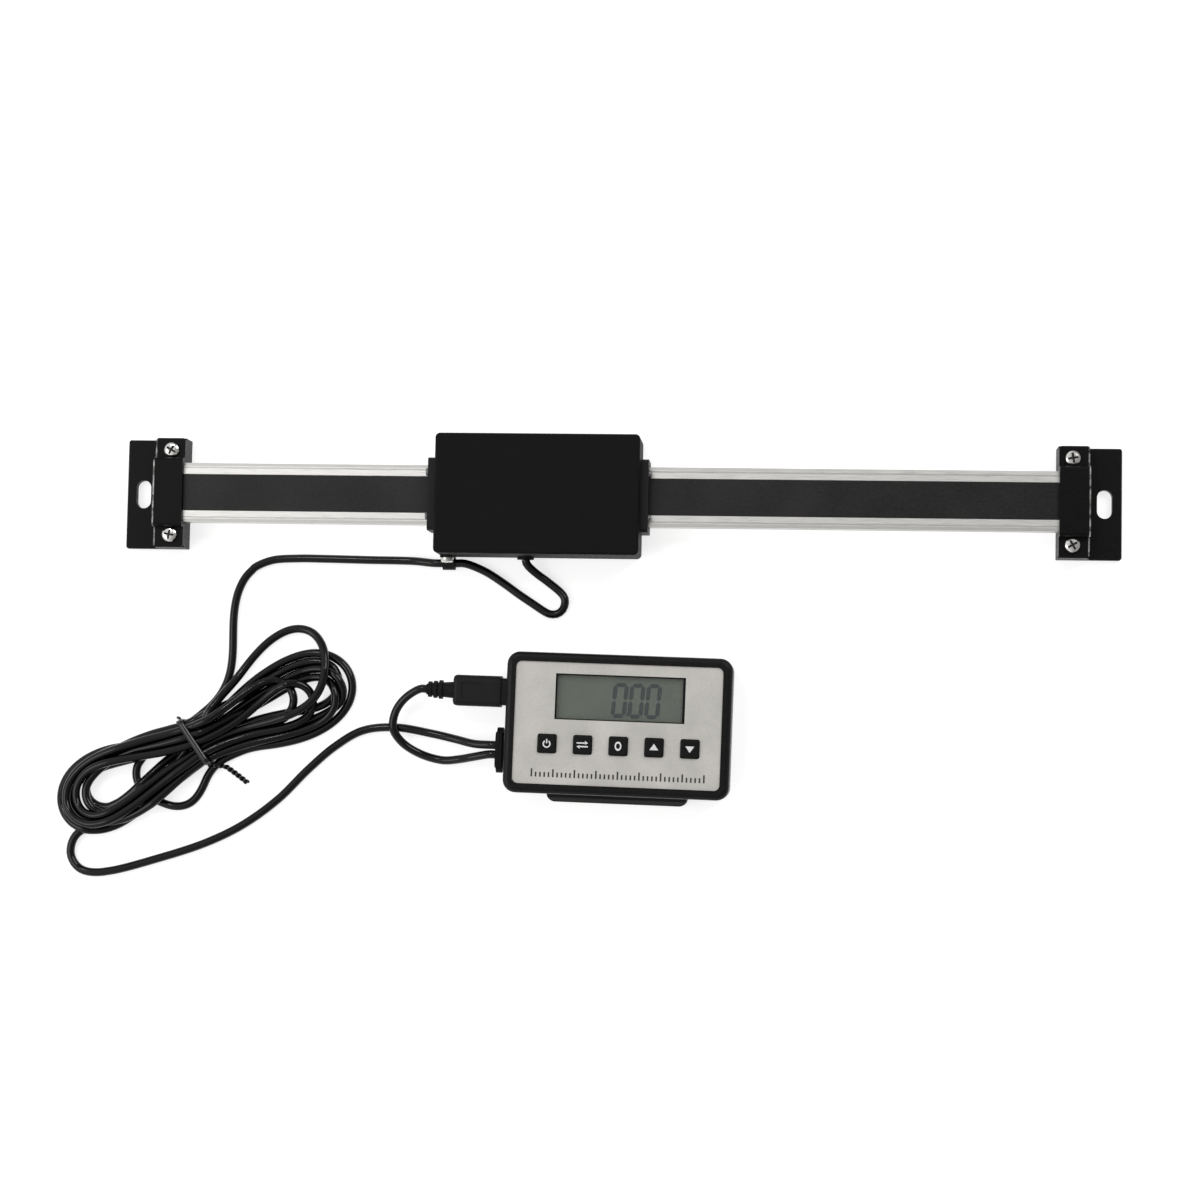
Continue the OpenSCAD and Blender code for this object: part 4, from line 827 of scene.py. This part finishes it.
def make_print():
    """Digits, a black frame of painted shade along the window's inner edges, the signs on the
    keys and a plain row of ticks.
    """
    digits = [shape for k in range(DIGITS)
              for shape in digit_nought(DIGIT_X + DIGIT_PITCH * k, DIGIT_Y)]
    digits.append(box(*DECIMAL_POINT))
    prism("lcd_digits", digits, GLASS_Z + ON_GLASS, "segment")
    left, right = PANEL_X - WINDOW_W / 2, PANEL_X + WINDOW_W / 2
    low, high = WINDOW_Y - WINDOW_H / 2, WINDOW_Y + WINDOW_H / 2
    inner_left, inner_right = left + BORDER_LEFT, right - BORDER_RIGHT
    # Painted shade: a black frame along the window's inner edges
    prism("window_painted_shade", [
        box(left, low, inner_left, high), box(inner_right, low, right, high),
        box(inner_left, low, inner_right, low + BORDER_LOW),
        box(inner_left, high - BORDER_HIGH, inner_right, high)],
        LENS_Z + ON_LENS, "painted_shade_black", height=SHADE_FRAME_THICKNESS)
    for k in range(5):
        signs = key_signs(PANEL_X + (k - 2) * KEY_PITCH, KEY_Y)[k]
        prism(f"key_{k + 1}_sign", signs, KEY_Z + ON_PRINT, "white_ink", f"key_{k + 1}")
    ticks = []
    for k in range(TICKS):
        x = TICK_X + TICK_PITCH * k
        tall = TICK_SHORT if k % LONG_EVERY else TICK_LONG
        ticks.append(bar(x, TICK_Y, x, TICK_Y + tall, TICK_W))
    prism("tick_row", ticks, FACE_Z + ON_PRINT, "dark_ink")


make_print()

# ---------------------------------------------------------------- light and surface

FLOOR_HALF, FLOOR_DROP = 4.0, 0.0002    # metres; it lies just below the part
FLOOR_TONE, FLOOR_ROUGH = (0.5, 0.5, 0.5, 1), 0.9
FLOOR_GLOW = 0.72                       # what makes it white where it is looked at
SKY_COLOUR = (1, 0.995, 0.985, 1)
SKY_FROM, SKY_TO = (-0.3, 0.2), (0.84, 0.34)    # from left to right, and its strengths
# Each lamp's name, place and side in metres, and power in watts
LAMPS = [("key", (0.8, 0.8, 1.1), 0.7, 9), ("fill", (-0.8, -0.2, 0.9), 0.6, 3),
         ("glint", (-0.28, 0.42, 1), 0.11, 1)]


def ray_share(tree):
    """1 where the camera, a gloss or a clear piece looks, and 0 for the light itself."""
    path = tree.nodes.new("ShaderNodeLightPath")
    total = path.outputs["Is Camera Ray"]
    for name in ("Is Glossy Ray", "Is Transmission Ray"):
        total = math_node(tree, "MAXIMUM", total, path.outputs[name])
    return total


def make_stage():
    """A pale floor that shows white and keeps a soft shadow."""
    mesh = bpy.data.meshes.new("floor")
    w, z = FLOOR_HALF, -FLOOR_DROP
    mesh.from_pydata([(-w, -w, z), (w, -w, z), (w, w, z), (-w, w, z)], [], [(0, 1, 2, 3)])
    floor = add_object("floor", mesh)
    mat, tree, shader = principled("pale_floor")
    shader.inputs["Base Color"].default_value = FLOOR_TONE
    shader.inputs["Roughness"].default_value = FLOOR_ROUGH
    shader.inputs["Specular IOR Level"].default_value = 0.0
    shader.inputs["Emission Color"].default_value = (1, 1, 1, 1)
    tree.links.new(math_node(tree, "MULTIPLY", ray_share(tree), FLOOR_GLOW),
                   shader.inputs["Emission Strength"])
    mesh.materials.append(mat)


def make_light():
    """Soft lamps, a small one that makes the glints, and a sky that is brighter on the left."""
    world = bpy.data.worlds.new("sky")
    world.use_nodes = True
    tree = world.node_tree
    place = tree.nodes.new("ShaderNodeTexCoord")
    split = tree.nodes.new("ShaderNodeSeparateXYZ")
    tree.links.new(place.outputs["Generated"], split.inputs["Vector"])
    background = tree.nodes["Background"]
    background.inputs["Color"].default_value = SKY_COLOUR
    tree.links.new(range_node(tree, split.outputs["X"], SKY_FROM, SKY_TO),
                   background.inputs["Strength"])
    bpy.context.scene.world = world
    for name, place, side, power in LAMPS:
        data = bpy.data.lights.new(name, "AREA")
        data.size = side
        data.energy = power
        lamp = add_object(name, data)
        lamp.location = place
        lamp.rotation_euler = (-Vector(place)).to_track_quat("-Z", "Y").to_euler()


make_stage()
make_light()
bpy.context.scene.view_settings.view_transform = "Standard"

# ---------------------------------------------------------------- close

# The cube and the lamp that Blender starts with
for obj in list(bpy.data.objects):
    if obj.name in ("Cube", "Light"):
        bpy.data.objects.remove(obj)
